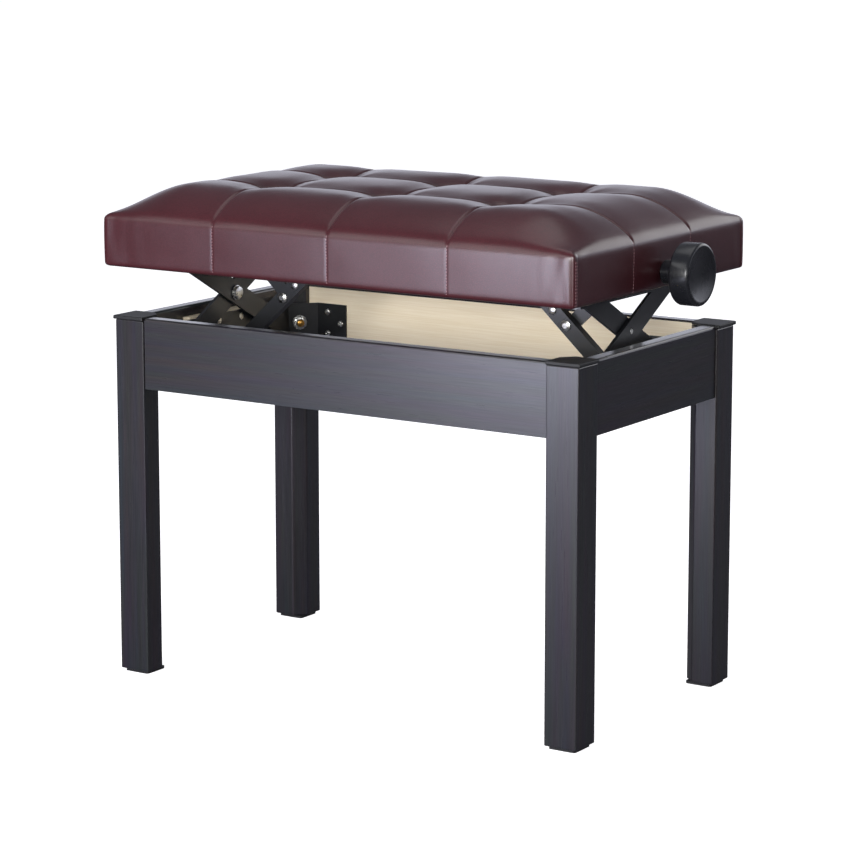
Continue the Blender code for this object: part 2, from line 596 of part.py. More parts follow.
def build_drive_foot(name, side, parent, looks):
    """The clevis riveted to a base rail, and the pin that a drive arm turns on."""
    spot = (side * DRIVE_FOOT_X, 0, PIVOT_LOW_Z)
    plate_low = STEEL_SHEET - PIVOT_ABOVE_RAIL + FIT_GAP
    plate_high = plate_low + FOOT_PLATE_THICKNESS
    half_x = FOOT_PLATE_LENGTH / 2
    half_y = FOOT_PLATE_WIDTH / 2
    plate = block((-half_x, -half_y, plate_low), (half_x, half_y, plate_high))
    foot = add_piece("drive_foot_" + name, plate, spot, parent, looks["black_steel"])
    hole = rod(-half_y, half_y, STUD_DIAMETER / 2 + PIN_CLEARANCE, "Y", 16)
    for end in (-1, 1):
        low, high = sorted((end * EAR_INNER_Y, end * EAR_OUTER_Y))
        ear = prism(ear_outline(EAR_WIDTH, plate_low + FOOT_PLATE_THICKNESS / 2), low, high, "XZ")
        combine(foot, ear, "UNION")
    combine(foot, hole)
    reach = EAR_OUTER_Y + FIT_GAP
    pin = rivet(-reach, reach, STUD_DIAMETER / 2)
    add_piece("foot_pin_" + name, pin, spot, parent, looks["zinc"], smooth=True)


def build_drive(name, side, arm_empty, link_empty, looks):
    """A pressed channel arm from foot to nut, its half-length link and the pin between them."""
    half = ARM_DEPTH / 2
    along = math.pi - ARM_ANGLE if side > 0 else ARM_ANGLE
    turn = (0, -along, 0)
    foot = (side * DRIVE_FOOT_X, 0, PIVOT_LOW_Z)
    outer = prism(slot_outline(0, ARM_LENGTH, 0, ARM_WIDTH / 2), -half, half, "XZ")
    arm = add_piece("drive_arm_" + name, outer, foot, arm_empty, looks["black_steel"], turn)
    pocket = slot_outline(0, ARM_LENGTH, 0, ARM_WIDTH / 2 - ARM_SHEET)
    combine(arm, prism(pocket, -half + ARM_SHEET, 2 * half, "XZ"))
    for place in (0, ARM_LENGTH / 2, ARM_LENGTH):
        hole = rod(-2 * half, 2 * half, STUD_DIAMETER / 2 + PIN_CLEARANCE, "Y", 16)
        bmesh.ops.translate(hole, verts=hole.verts, vec=Vector((place, 0, 0)))
        combine(arm, hole)
    middle = (side * DRIVE_MID_X, 0, PIVOT_MID_Z)
    link_turn = (0, -ARM_ANGLE if side > 0 else ARM_ANGLE - math.pi, 0)
    plate = prism(slot_outline(0, ARM_LENGTH / 2, 0, LINK_WIDTH / 2), LINK_NEAR_Y, LINK_FAR_Y, "XZ")
    link = add_piece("drive_link_" + name, plate, middle, link_empty, looks["black_steel"], link_turn)
    stud = rod(LINK_FAR_Y - STEEL_SHEET / 2, SEAT_EAR_FAR_Y + PIN_PROUD, STUD_DIAMETER / 2, "Y", 16)
    bmesh.ops.translate(stud, verts=stud.verts, vec=Vector((ARM_LENGTH / 2, 0, 0)))
    combine(link, stud, "UNION")
    combine(link, rod(0, 2 * LINK_FAR_Y, STUD_DIAMETER / 2 + PIN_CLEARANCE, "Y", 16))
    pin = rivet(-half - FIT_GAP, LINK_FAR_Y + FIT_GAP, STUD_DIAMETER / 2)
    add_piece("link_pin_" + name, pin, middle, arm_empty, looks["zinc"], smooth=True)


def build_nut(name, side, parent, looks):
    """A nut block on the lead screw with two ears and a pin for the drive arm's end."""
    spot = (side * DRIVE_NUT_X, 0, PIVOT_HIGH_Z)
    half = NUT_LENGTH / 2
    top = SCREW_ABOVE_PIVOT + NUT_OVER_SCREW
    body = block((-half, -EAR_OUTER_Y, NUT_ABOVE_PIVOT), (half, EAR_OUTER_Y, top))
    nut = add_piece("screw_nut_" + name, body, spot, parent, looks["zinc"])
    for end in (-1, 1):
        low, high = sorted((end * EAR_INNER_Y, end * EAR_OUTER_Y))
        base = NUT_ABOVE_PIVOT + STEEL_SHEET / 2
        combine(nut, prism(ear_outline(EAR_WIDTH, base), low, high, "XZ"), "UNION")
    pin_end = EAR_OUTER_Y + PIN_PROUD
    combine(nut, rod(-pin_end, pin_end, STUD_DIAMETER / 2, "Y", 16), "UNION")
    bore = rod(-2 * half, 2 * half, SCREW_DIAMETER / 2 + PIN_CLEARANCE, "X")
    bmesh.ops.translate(bore, verts=bore.verts, vec=Vector((0, 0, SCREW_ABOVE_PIVOT)))
    combine(nut, bore)


def build_screw(parent, looks):
    """The lead screw with its two collars, and the knob on its right-hand end."""
    radius = SCREW_DIAMETER / 2
    collar = SCREW_COLLAR_DIAMETER / 2
    collar_high = RAIL_WEB_X - BUSH_FLANGE_THICKNESS - 3 * FIT_GAP
    collar_low = collar_high - SCREW_COLLAR_LENGTH
    left = -RAIL_OUTER_X - SCREW_TAIL
    right = KNOB_INNER_X + KNOB_BORE_DEPTH - FIT_GAP
    profile = [(left, 0), (left, radius), (-collar_high, radius), (-collar_high, collar),
               (-collar_low, collar), (-collar_low, radius), (collar_low, radius), (collar_low, collar),
               (collar_high, collar), (collar_high, radius), (right, radius), (right, 0)]
    add_piece("lead_screw", turned(profile, "X"), (0, 0, SCREW_Z), parent, looks["zinc"], smooth=True)
    rim = KNOB_DIAMETER / 2
    hub = KNOB_HUB_DIAMETER / 2
    bore = radius + FIT_GAP
    start = SEAT_HALF_LENGTH + KNOB_HUB_GAP
    back = KNOB_INNER_X
    bore_end = KNOB_INNER_X + KNOB_BORE_DEPTH
    edge = KNOB_EDGE
    profile = [(start, bore), (start, hub), (back, hub), (back, rim - edge), (back + edge, rim),
               (KNOB_FACE_X - edge, rim), (KNOB_FACE_X, rim - edge), (KNOB_FACE_X, 0),
               (bore_end, 0), (bore_end, bore)]
    knob = turned(profile, "X", 48)
    add_piece("height_knob", knob, (0, 0, SCREW_Z), parent, looks["black_plastic"], smooth=True)


def build_bush(name, side, parent, looks):
    """The flanged bush that carries the lead screw in a seat rail."""
    bore = SCREW_DIAMETER / 2 + PIN_CLEARANCE
    barrel = BUSH_DIAMETER / 2
    flange = BUSH_FLANGE_DIAMETER / 2
    web = RAIL_WEB_X - FIT_GAP
    stop = RAIL_OUTER_X + BUSH_PROUD
    profile = [(web - BUSH_FLANGE_THICKNESS, bore), (web - BUSH_FLANGE_THICKNESS, flange), (web, flange),
               (web, barrel), (stop, barrel), (stop, bore)]
    mesh = turned([(side * along, radius) for along, radius in profile], "X")
    add_piece("screw_bush_" + name, mesh, (0, 0, SCREW_Z), parent, looks["white_nylon"], smooth=True)


# ---------------------------------------------------------------- seat
def chamfered_rectangle(half_u, half_v, cut):
    """A rectangle with cut corners."""
    return [(half_u, half_v - cut), (half_u - cut, half_v), (cut - half_u, half_v), (-half_u, half_v - cut),
            (-half_u, cut - half_v), (cut - half_u, -half_v), (half_u - cut, -half_v), (half_u, cut - half_v)]


def build_seat_wood(parent, looks):
    """The four wooden rails of the seat box and the board on top of them."""
    cut = SEAT_WOOD_CORNER
    half = WOOD_HALF_LENGTH
    outer_y = WOOD_HALF_WIDTH
    inner_y = outer_y - SEAT_WOOD_THICKNESS
    for name, end in ENDS.items():
        outline = [(-half, inner_y), (half, inner_y), (half, outer_y - cut), (half - cut, outer_y),
                   (cut - half, outer_y), (-half, outer_y - cut)]
        mesh = prism([(x, end * y) for x, y in outline], 0, SEAT_WOOD_HEIGHT)
        add_piece("seat_frame_" + name, mesh, (0, 0, SEAT_WOOD_LOW), parent, looks["raw_wood"])
    for name, side in SIDES.items():
        low, high = sorted((side * (half - SEAT_WOOD_THICKNESS), side * half))
        mesh = block((low, FIT_GAP - inner_y, 0), (high, inner_y - FIT_GAP, SEAT_WOOD_HEIGHT))
        rail = add_piece("seat_frame_" + name, mesh, (0, 0, SEAT_WOOD_LOW), parent, looks["raw_wood"])
        if side > 0:
            combine(rail, shaft_hole(SEAT_WOOD_LOW))
    board = prism(chamfered_rectangle(half, outer_y, cut), 0, BOARD_THICKNESS)
    add_piece("seat_board", board, (0, 0, BOARD_LOW), parent, looks["raw_wood"])


def shaft_hole(piece_z):
    """The hole that the screw's end passes through, for a piece whose origin is at piece_z."""
    radius = SCREW_DIAMETER / 2 + SHAFT_CLEARANCE
    hole = rod(RAIL_OUTER_X + BUSH_PROUD, SEAT_HALF_LENGTH + KNOB_HUB_GAP, radius, "X")
    bmesh.ops.translate(hole, verts=hole.verts, vec=Vector((0, 0, SCREW_Z - piece_z)))
    return hole


def build_upholstery(parent, looks):
    """The leather wrapped round the wooden sides, and the padded top."""
    full_u = SEAT_HALF_LENGTH
    full_v = SEAT_HALF_WIDTH
    height = BOARD_TOP - COVER_LOW
    outer = rounded_rectangle(-full_u, full_u, -full_v, full_v, COVER_CORNER)
    cover = add_piece("seat_cover", prism(outer, 0, height), (0, 0, COVER_LOW), parent, looks["leather"])
    wall_u = full_u - COVER_THICKNESS
    wall_v = full_v - COVER_THICKNESS
    room = rounded_rectangle(-wall_u, wall_u, -wall_v, wall_v, COVER_CORNER - COVER_THICKNESS)
    combine(cover, prism(room, COVER_THICKNESS, 2 * height))
    lip_u = full_u - COVER_LIP
    lip_v = full_v - COVER_LIP
    opening = rounded_rectangle(-lip_u, lip_u, -lip_v, lip_v, COVER_CORNER)
    combine(cover, prism(opening, -height, height))
    combine(cover, shaft_hole(COVER_LOW))
    crown_u = full_u - CUSHION_CROWN_INSET
    crown_v = full_v - CUSHION_CROWN_INSET
    crown = rounded_rectangle(-crown_u, crown_u, -crown_v, crown_v, COVER_CORNER)
    pad = loft([(outer, 0), (outer, CUSHION_SIDE), (crown, CUSHION_SIDE + CUSHION_CROWN)])
    add_piece("seat_cushion", pad, (0, 0, CUSHION_LOW), parent, looks["leather"])


# ---------------------------------------------------------------- the whole bench
def main():
    """Clear the scene and build every piece."""
    for item in list(bpy.data.objects):
        bpy.data.objects.remove(item)
    looks = {
        "lacquer": make_material("espresso_lacquer", "2B2A2F", 0.32),
        "raw_wood": make_material("raw_plywood", "E3D2AE", 0.7),
        "black_plastic": make_material("black_plastic", "17171A", 0.4),
        "black_steel": make_material("black_painted_steel", "1E1F22", 0.4, 0.3),
        "zinc": make_material("bright_zinc", "C9C7BD", 0.3, 1.0),
        "brass_plate": make_material("yellow_zinc", "C99A55", 0.35, 1.0),
        "white_nylon": make_material("white_nylon", "DCD9D0", 0.5),
        "leather": make_material("oxblood_leather", "54343A", 0.38),
    }
    bench = add_empty("bench", (0, 0, 0))
    bench.location.x = BENCH_X
    seat = add_empty("seat_pivot", (DRIVE_FOOT_X, 0, PIVOT_HIGH_Z), bench)
    screw = add_empty("screw_axis", (0, 0, SCREW_Z), bench)
    for side_name, side in SIDES.items():
        for end_name, end in ENDS.items():
            name = end_name + "_" + side_name
            build_leg(name, side, end, bench, looks)
            build_corner(name, side, end, bench, looks)
        build_end_apron(side_name, side, bench, looks)
        build_cleat(side_name, side, bench, looks)
        build_base_rail(side_name, side, bench, looks)
        build_seat_rail(side_name, side, seat, looks)
        empties = {
            "inner": add_empty("scissor_foot_" + side_name, (0, SCISSOR_HALF_SPAN, PIVOT_LOW_Z), bench),
            "outer": add_empty("scissor_middle_" + side_name, (0, 0, PIVOT_MID_Z), bench),
        }
        build_scissor(side_name, side, empties, looks)
        build_drive_foot(side_name, side, bench, looks)
        arm = add_empty("drive_foot_axis_" + side_name, (side * DRIVE_FOOT_X, 0, PIVOT_LOW_Z), bench)
        link = add_empty("drive_middle_axis_" + side_name, (side * DRIVE_MID_X, 0, PIVOT_MID_Z), bench)
        build_drive(side_name, side, arm, link, looks)
        build_nut(side_name, side, bench, looks)
        build_bush(side_name, side, seat, looks)
    for end_name, end in ENDS.items():
        build_long_apron(end_name, end, bench, looks)
    build_screw(screw, looks)
    build_seat_wood(seat, looks)
    build_upholstery(seat, looks)


main()
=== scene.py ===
"""Looks of the piano bench: leather seat, stained wood, coated steel and small fasteners."""

import math

import bmesh
import bpy
from mathutils import Matrix, Vector, noise
from mathutils.bvhtree import BVHTree


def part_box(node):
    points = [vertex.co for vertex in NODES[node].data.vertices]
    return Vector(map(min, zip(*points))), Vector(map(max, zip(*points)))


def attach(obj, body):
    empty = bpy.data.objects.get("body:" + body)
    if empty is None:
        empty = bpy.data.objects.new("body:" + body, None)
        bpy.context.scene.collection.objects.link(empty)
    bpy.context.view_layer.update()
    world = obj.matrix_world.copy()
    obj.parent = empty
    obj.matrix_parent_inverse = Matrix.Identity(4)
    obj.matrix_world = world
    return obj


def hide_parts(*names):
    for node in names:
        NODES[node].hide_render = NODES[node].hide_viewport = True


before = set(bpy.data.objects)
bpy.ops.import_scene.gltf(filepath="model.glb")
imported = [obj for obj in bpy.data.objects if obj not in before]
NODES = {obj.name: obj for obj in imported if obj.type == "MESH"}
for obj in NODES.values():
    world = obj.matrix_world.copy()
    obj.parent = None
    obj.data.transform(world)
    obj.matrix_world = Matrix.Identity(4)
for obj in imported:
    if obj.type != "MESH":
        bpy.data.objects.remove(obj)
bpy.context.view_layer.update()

MM = 0.001
SIDES = {"left": -1, "right": 1}
ENDS = {"front": -1, "back": 1}
CORNERS = {end + "_" + side: (SIDES[side], ENDS[end]) for end in ENDS for side in SIDES}


def middle(name):
    """The middle of a frame node's box."""
    low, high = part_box(name)
    return (low + high) / 2


# ---------------- places taken from the frame
COVER_LOW, COVER_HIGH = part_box("seat_cover")
CUSHION_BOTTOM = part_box("seat_cushion")[0].z
CENTRE_X = (COVER_LOW.x + COVER_HIGH.x) / 2
BOARD_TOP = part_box("seat_board")[1].z
SCREW_AXIS_Z = middle("height_knob").z
APRON_INSIDE = {"front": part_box("apron_front")[1].y, "back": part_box("apron_back")[0].y}

# ---------------- seat sizes
SEAT_HALF_LENGTH = (COVER_HIGH.x - COVER_LOW.x) / 2
SEAT_HALF_WIDTH = (COVER_HIGH.y - COVER_LOW.y) / 2
SEAT_BOTTOM = COVER_LOW.z
SEAT_EDGE = CUSHION_BOTTOM + 12 * MM     # height at which the sides turn over into the top
CROWN_RISE = 30.5 * MM                   # the panels' crests above the edge
LONG_ROLL = 74 * MM                      # how far in from the two ends the top climbs
CROSS_ROLL = 62 * MM                     # and from the front and back
VALLEY_DEPTH = 4.5 * MM                  # between two panels, halfway along their seam
VALLEY_WIDTH = 17 * MM
PULL_DEPTH = 6.5 * MM                    # further down, around a button
PULL_WIDTH = 26 * MM
EDGE_FADE = 0.15                         # a valley's share that is left at the seat's edge
CORNER_RADIUS = 4 * MM
TOP_RADIUS = 7 * MM
BOTTOM_RADIUS = 5 * MM
SEAM_XS = [-SEAT_HALF_LENGTH / 2, 0, SEAT_HALF_LENGTH / 2]
SEAM_YS = [-SEAT_HALF_WIDTH / 3, SEAT_HALF_WIDTH / 3]
SEAM_WIDTH = 1.6 * MM
SEAM_DEPTH = 1.7 * MM
SIDE_SEAM = 0.12                         # share of that depth down the sides
DIMPLE_DEPTH = 4 * MM
DIMPLE_WIDTH = 11 * MM
SKIN = 1.7 * MM                          # leather over the wooden sides
LIP = 10 * MM                            # leather turned under them
SHAFT_HOLE = 6.5 * MM
ROLL_POWER = 1.8                         # above 1, the top climbs faster near its edge
FADE_MARGIN = 18 * MM                    # in from the edge, where a valley has faded
CROSSING_SHARE = 0.3                     # of the shallower valley, where two meet
FOLD_DEPTH = 0.5 * MM                    # small folds in a ring around each button
FOLD_RING = 17 * MM
FOLD_WIDTH = 9 * MM
CORNER_GROOVE = 1.1 * MM                 # down each upright corner
STRIP_EDGE = (6.9 * MM, 8.1 * MM)        # in from a corner, where its sewn strip ends
STRIP_RISE = 0.7 * MM
PUCKER_DEPTH = 0.9 * MM                  # wrinkles beside the corners
BELLY_RISE = 0.3 * MM                    # panels of the sides, between their seams
DRIFT = 0.5 * MM                         # slow unevenness of the whole skin
PRESSURE = 4                             # that blows the cloth up
LAST_FRAME = 20                          # of its simulation
LARGEST_PUFF = 4 * MM                    # no point moves further than this
STITCH = (1.05 * MM, 0.32 * MM, 0.28 * MM)  # half its length, width and height
STITCH_PITCH = 3.1 * MM
GUIDE_GAP = 4 * MM                       # stitching lines to the leather, before they are laid on
BUTTON_SUNK = 0.8 * MM
TINY = 1e-7


# ---------------- working by hand
def deselect():
    """Leave edit mode and drop the selection."""
    if bpy.context.object and bpy.context.object.mode != "OBJECT":
        bpy.ops.object.mode_set(mode="OBJECT")
    bpy.ops.object.select_all(action="DESELECT")


def pick(piece):
    """Select one piece and make it active."""
    deselect()
    piece.select_set(True)
    bpy.context.view_layer.objects.active = piece


def settle(piece):
    """Put a piece's place, turn and scale into its mesh."""
    pick(piece)
    bpy.ops.object.transform_apply(location=True, rotation=True, scale=True)


def apply_modifier(piece, kind, settings):
    """Give a piece one modifier and apply it."""
    pick(piece)
    modifier = piece.modifiers.new(kind.lower(), kind)
    for key, value in settings.items():
        setattr(modifier, key, value)
    bpy.ops.object.modifier_apply(modifier=modifier.name)


def cut(piece, tool):
    """Cut a tool's shape from a piece and remove the tool."""
    apply_modifier(piece, "BOOLEAN", {"operation": "DIFFERENCE", "object": tool, "solver": "EXACT"})
    bpy.data.objects.remove(tool)


def cylinder(radius, low, high, sides=32):
    """A cylinder on the Z axis from one height to another."""
    deselect()
    bpy.ops.mesh.primitive_cylinder_add(vertices=sides, radius=radius, depth=high - low,
                                        location=(0, 0, (low + high) / 2))
    piece = bpy.context.object
    settle(piece)
    return piece


def box(low, high):
    """A block between two corners."""
    deselect()
    low, high = Vector(low), Vector(high)
    bpy.ops.mesh.primitive_cube_add(size=1, location=(low + high) / 2, scale=high - low)
    piece = bpy.context.object
    settle(piece)
    return piece


def join(pieces):
    """Join pieces into the first one."""
    deselect()
    for piece in pieces:
        piece.select_set(True)
    bpy.context.view_layer.objects.active = pieces[0]
    bpy.ops.object.join()
    return pieces[0]


def turn_profile(profile, sides=64):
    """Spin a profile of (radius, height) points about Z into a closed solid."""
    deselect()
    mesh = bpy.data.meshes.new("profile")
    mesh.from_pydata([(radius, 0, height) for radius, height in profile],
                     [(i, i + 1) for i in range(len(profile) - 1)], [])
    piece = bpy.data.objects.new("profile", mesh)
    bpy.context.scene.collection.objects.link(piece)
    pick(piece)
    bpy.ops.object.mode_set(mode="EDIT")
    bpy.ops.mesh.select_all(action="SELECT")
    bpy.ops.mesh.spin(steps=sides, angle=2 * math.pi, center=(0, 0, 0), axis=(0, 0, 1))
    bpy.ops.mesh.select_all(action="SELECT")
    bpy.ops.mesh.remove_doubles(threshold=1e-6)
    bpy.ops.mesh.normals_make_consistent(inside=False)
    bpy.ops.object.mode_set(mode="OBJECT")
    return piece


def shade(piece, angle=35):
    """Smooth shading that keeps edges sharper than the angle."""
    pick(piece)
    bpy.ops.object.shade_smooth_by_angle(angle=math.radians(angle))


def facing(spot, direction):
    """The place that carries a piece's own +Z onto a direction at a spot."""
    return Matrix.Translation(spot) @ Vector(direction).to_track_quat("Z", "Y").to_matrix().to_4x4()


def repeat(pattern, places):
    """One object with a copy of the pattern at each place. The pattern is used up."""
    joined = bmesh.new()
    for place in places:
        copy = pattern.data.copy()
        copy.transform(place)
        joined.from_mesh(copy)
        bpy.data.meshes.remove(copy)
    data = bpy.data.meshes.new("copies")
    joined.to_mesh(data)
    joined.free()
    piece = bpy.data.objects.new("copies", data)
    bpy.context.scene.collection.objects.link(piece)
    bpy.data.objects.remove(pattern)
    return piece


def hand_over(piece, name, body, slot, replaced=(), look=None):
    """Name a finished piece, give it its material and let it ride on its body."""
    piece.name = name
    piece.data.name = name
    piece.data.materials.clear()
    piece.data.materials.append(LOOKS[look or slot])
    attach(piece, body)
    if replaced:
        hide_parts(*replaced)


# ---------------- materials
def linear(colour):
    """An sRGB hex colour as linear RGBA."""
    shares = [int(colour[i:i + 2], 16) / 255 for i in (0, 2, 4)]
    return [s / 12.92 if s <= 0.04045 else ((s + 0.055) / 1.055) ** 2.4 for s in shares] + [1.0]


def add(tree, kind, parts):
    """Add a node. Parts name its settings and sockets; a socket as a value becomes a link."""
    node = tree.nodes.new("ShaderNode" + kind)
    for key, value in parts.items():
        if isinstance(key, str) and hasattr(node, key):
            setattr(node, key, value)
        elif isinstance(value, bpy.types.NodeSocket):
            tree.links.new(value, node.inputs[key])
        else:
            node.inputs[key].default_value = value
    return node


def new_material(name, shader_values):
    """A material with its Principled shader set, and a texture coordinate node in metres."""
    material = bpy.data.materials.new(name)
    material.use_nodes = True
    tree = material.node_tree
    shader = tree.nodes["Principled BSDF"]
    for key, value in shader_values.items():
        shader.inputs[key].default_value = value
    place = add(tree, "TexCoord", {}).outputs["Object"]
    return material, tree, shader, place


def link(tree, source, shader, socket):
    """Link a socket into one of the shader's."""
    tree.links.new(source, shader.inputs[socket])


def per_metre(size_mm):
    """A texture's scale for a feature of a real size."""
    return 1 / (size_mm * MM)


def blend(tree, share, low, high, kind="MIX"):
    """Two colours mixed by a share."""
    parts = {"data_type": "RGBA", "blend_type": kind, 0: share, 6: low, 7: high}
    return add(tree, "Mix", parts).outputs[2]


def spread(tree, source, low, high):
    """A value between 0 and 1 carried to between two others."""
    return add(tree, "MapRange", {"Value": source, "To Min": low, "To Max": high}).outputs["Result"]


def relief(tree, height, strength, depth_mm, base=None):
    """The normal of a bumpy surface, on top of a first relief if there is one."""
    parts = {"Height": height, "Strength": strength, "Distance": depth_mm * MM}
    if base:
        parts["Normal"] = base
    return add(tree, "Bump", parts).outputs["Normal"]


def grain_noise(tree, place, axis, across_mm, along_mm, settings):
    """Noise drawn out along one axis, as grain is."""
    stretch = [per_metre(across_mm)] * 3
    stretch["XYZ".index(axis)] = per_metre(along_mm)
    drawn = add(tree, "Mapping", {"Vector": place, "Scale": stretch}).outputs["Vector"]
    return add(tree, "TexNoise", {"Vector": drawn, "Scale": 1.0, **settings}).outputs


def leather():
    """Corrected-grain oxblood leather: a pigmented top coat with a fine pebble and a soft shine; painted
    shade darkens the colour in the pebble's creases.
    """
    material, tree, shader, place = new_material("oxblood_leather", {
        "Roughness": 0.32, "IOR": 1.5, "Coat Weight": 0.1, "Coat Roughness": 0.2})
    cells = add(tree, "TexVoronoi", {"Vector": place, "feature": "DISTANCE_TO_EDGE",
                                     "Scale": per_metre(1.6), "Randomness": 1.0})
    pebble = add(tree, "MapRange", {"Value": cells.outputs["Distance"], "From Min": 0.0,
                                    "From Max": 0.28, "interpolation_type": "SMOOTHSTEP"}).outputs["Result"]
    pores = add(tree, "TexNoise", {"Vector": place, "Scale": per_metre(0.7), "Detail": 2.0})
    clouds = add(tree, "TexNoise", {"Vector": place, "Scale": per_metre(70), "Detail": 3.0})
    tone = blend(tree, clouds.outputs["Fac"], linear("3D151A"), linear("4E2026"))
    # painted shade: the colour is darkened by up to 35 % in the pebble's creases, where its bump is lowest
    link(tree, blend(tree, 0.35, tone, pebble, "MULTIPLY"), shader, "Base Color")
    link(tree, spread(tree, clouds.outputs["Fac"], 0.27, 0.37), shader, "Roughness")
    coarse = relief(tree, pebble, 0.16, 0.15)
    link(tree, relief(tree, pores.outputs["Fac"], 0.12, 0.1, coarse), shader, "Normal")
    return material


def stained_wood(name, axis, pale_side=None):
    """Close-grained rubberwood, stained espresso and sprayed with satin lacquer.
    The pores stay just visible as streaks along the grain, and unstained inner faces show beige."""
    material, tree, shader, place = new_material(name, {
        "Roughness": 0.3, "IOR": 1.5, "Coat Weight": 0.3, "Coat Roughness": 0.2})
    streaks = grain_noise(tree, place, axis, 1.1, 55, {"Detail": 4.0, "Roughness": 0.6})["Fac"]
    bands = grain_noise(tree, place, axis, 9, 260, {"Detail": 3.0, "Distortion": 0.4})["Color"]
    grain = add(tree, "MapRange", {"Value": streaks, "From Min": 0.35, "From Max": 0.68}).outputs["Result"]
    dark = blend(tree, grain, linear("151317"), linear("2A282D"))
    colour = blend(tree, 0.6, dark, bands, "SOFT_LIGHT")
    gloss = spread(tree, grain, 0.36, 0.27)
    if pale_side:
        axis_name, level, sign = pale_side
        across = add(tree, "SeparateXYZ", {"Vector": place}).outputs[axis_name]
        past = add(tree, "Math", {"operation": "MULTIPLY_ADD", 0: across, 1: float(sign),
                                  2: -sign * level}).outputs[0]
        inside = add(tree, "Math", {"operation": "GREATER_THAN", 0: past, 1: -0.15 * MM}).outputs[0]
        beige = blend(tree, grain, linear("E8D8BA"), linear("F1E4CB"))
        colour = blend(tree, inside, colour, beige)
        link(tree, spread(tree, inside, 0.5, 0.0), shader, "Coat Weight")
        gloss = add(tree, "Mix", {0: inside, 2: gloss, 3: 0.6}).outputs[0]
    link(tree, gloss, shader, "Roughness")
    link(tree, colour, shader, "Base Color")
    link(tree, relief(tree, streaks, 0.12, 0.12), shader, "Normal")
    return material


def raw_wood(name, axis):
    """Planed, unfinished birch: beige, dry and matt, with faint darker streaks along the grain."""
    material, tree, shader, place = new_material(name, {"Roughness": 0.68, "IOR": 1.45})
    streaks = grain_noise(tree, place, axis, 1.4, 60, {"Detail": 5.0, "Roughness": 0.65})["Fac"]
    grain = add(tree, "MapRange", {"Value": streaks, "From Min": 0.2, "From Max": 0.6}).outputs["Result"]
    link(tree, blend(tree, grain, linear("E3D2B3"), linear("EFE1C7")), shader, "Base Color")
    link(tree, relief(tree, streaks, 0.25, 0.1), shader, "Normal")
    return material


def coated_steel():
    """Mild steel, pressed and powder coated satin black: a faint orange peel softens the shine."""
    material, tree, shader, place = new_material("black_powder_coated_steel", {
        "Roughness": 0.4, "IOR": 1.5, "Coat Weight": 0.2, "Coat Roughness": 0.2})
    peel = add(tree, "TexNoise", {"Vector": place, "Scale": per_metre(1.8), "Detail": 2.0})
    blotch = add(tree, "TexNoise", {"Vector": place, "Scale": per_metre(30), "Detail": 3.0}).outputs["Fac"]
    link(tree, blend(tree, blotch, linear("0C0D0F"), linear("15171B")), shader, "Base Color")
    link(tree, spread(tree, blotch, 0.34, 0.46), shader, "Roughness")
    link(tree, relief(tree, peel.outputs["Fac"], 0.2, 0.12), shader, "Normal")
    return material


def plated_steel(name, light, dark, roughness):
    """Electroplated steel: bright metal with soft clouds and fine drawing marks."""
    material, tree, shader, place = new_material(name, {"Metallic": 1.0, "Roughness": roughness})
    clouds = add(tree, "TexNoise", {"Vector": place, "Scale": per_metre(5), "Detail": 4.0}).outputs["Fac"]
    marks = add(tree, "TexNoise", {"Vector": place, "Scale": per_metre(0.6), "Detail": 2.0})
    link(tree, blend(tree, clouds, linear(dark), linear(light)), shader, "Base Color")
    link(tree, spread(tree, clouds, roughness - 0.07, roughness + 0.1), shader, "Roughness")
    link(tree, relief(tree, marks.outputs["Fac"], 0.08, 0.05), shader, "Normal")
    return material


def moulded_plastic(name, colour, roughness, grain_mm, strength):
    """Injection-moulded plastic: even colour, with the fine spark texture of its mould."""
    material, tree, shader, place = new_material(name, {"Roughness": roughness, "IOR": 1.5})
    spark = add(tree, "TexNoise", {"Vector": place, "Scale": per_metre(grain_mm), "Detail": 3.0})
    flow = add(tree, "TexNoise", {"Vector": place, "Scale": per_metre(25), "Detail": 2.0}).outputs["Fac"]
    shadow = [channel * 0.8 for channel in linear(colour)[:3]] + [1.0]
    link(tree, blend(tree, flow, shadow, linear(colour)), shader, "Base Color")
    link(tree, spread(tree, flow, roughness - 0.04, roughness + 0.05), shader, "Roughness")
    link(tree, relief(tree, spark.outputs["Fac"], strength, 0.08), shader, "Normal")
    return material


def sewing_thread():
    """Bonded polyester thread, faded pink beside the leather, with its twist as fine mottling."""
    material, tree, shader, place = new_material("bonded_polyester_thread", {
        "Roughness": 0.6, "Sheen Weight": 0.3})
    twist = add(tree, "TexNoise", {"Vector": place, "Scale": per_metre(0.5), "Detail": 2.0}).outputs["Fac"]
    link(tree, blend(tree, twist, linear("7D4E55"), linear("B58C90")), shader, "Base Color")
    return material


LOOKS = {
    "leather": leather(),
    "thread": sewing_thread(),
    "leg_wood": stained_wood("espresso_rubberwood_upright", "Z"),
    "front_wood": stained_wood("espresso_rubberwood_front", "X", ("Y", APRON_INSIDE["front"], 1)),
    "back_wood": stained_wood("espresso_rubberwood_back", "X", ("Y", APRON_INSIDE["back"], -1)),
    "left_wood": stained_wood("espresso_rubberwood_left", "Y"),
    "right_wood": stained_wood("espresso_rubberwood_right", "Y"),
    "long_birch": raw_wood("birch_along", "X"),
    "cross_birch": raw_wood("birch_across", "Y"),
    "coated_steel": coated_steel(),
    "bright_zinc": plated_steel("bright_zinc_plate", "D8D8D6", "A9A9A6", 0.26),
    "yellow_zinc": plated_steel("yellow_zinc_plate", "DDAE62", "B07B35", 0.3),
    "knob_plastic": moulded_plastic("gloss_black_abs", "1C1D21", 0.27, 1.2, 0.04),
    "cap_plastic": moulded_plastic("matt_black_polypropylene", "0F0F11", 0.55, 0.6, 0.2),
    "nylon": moulded_plastic("natural_nylon", "DAD6CC", 0.45, 1.0, 0.1),
}

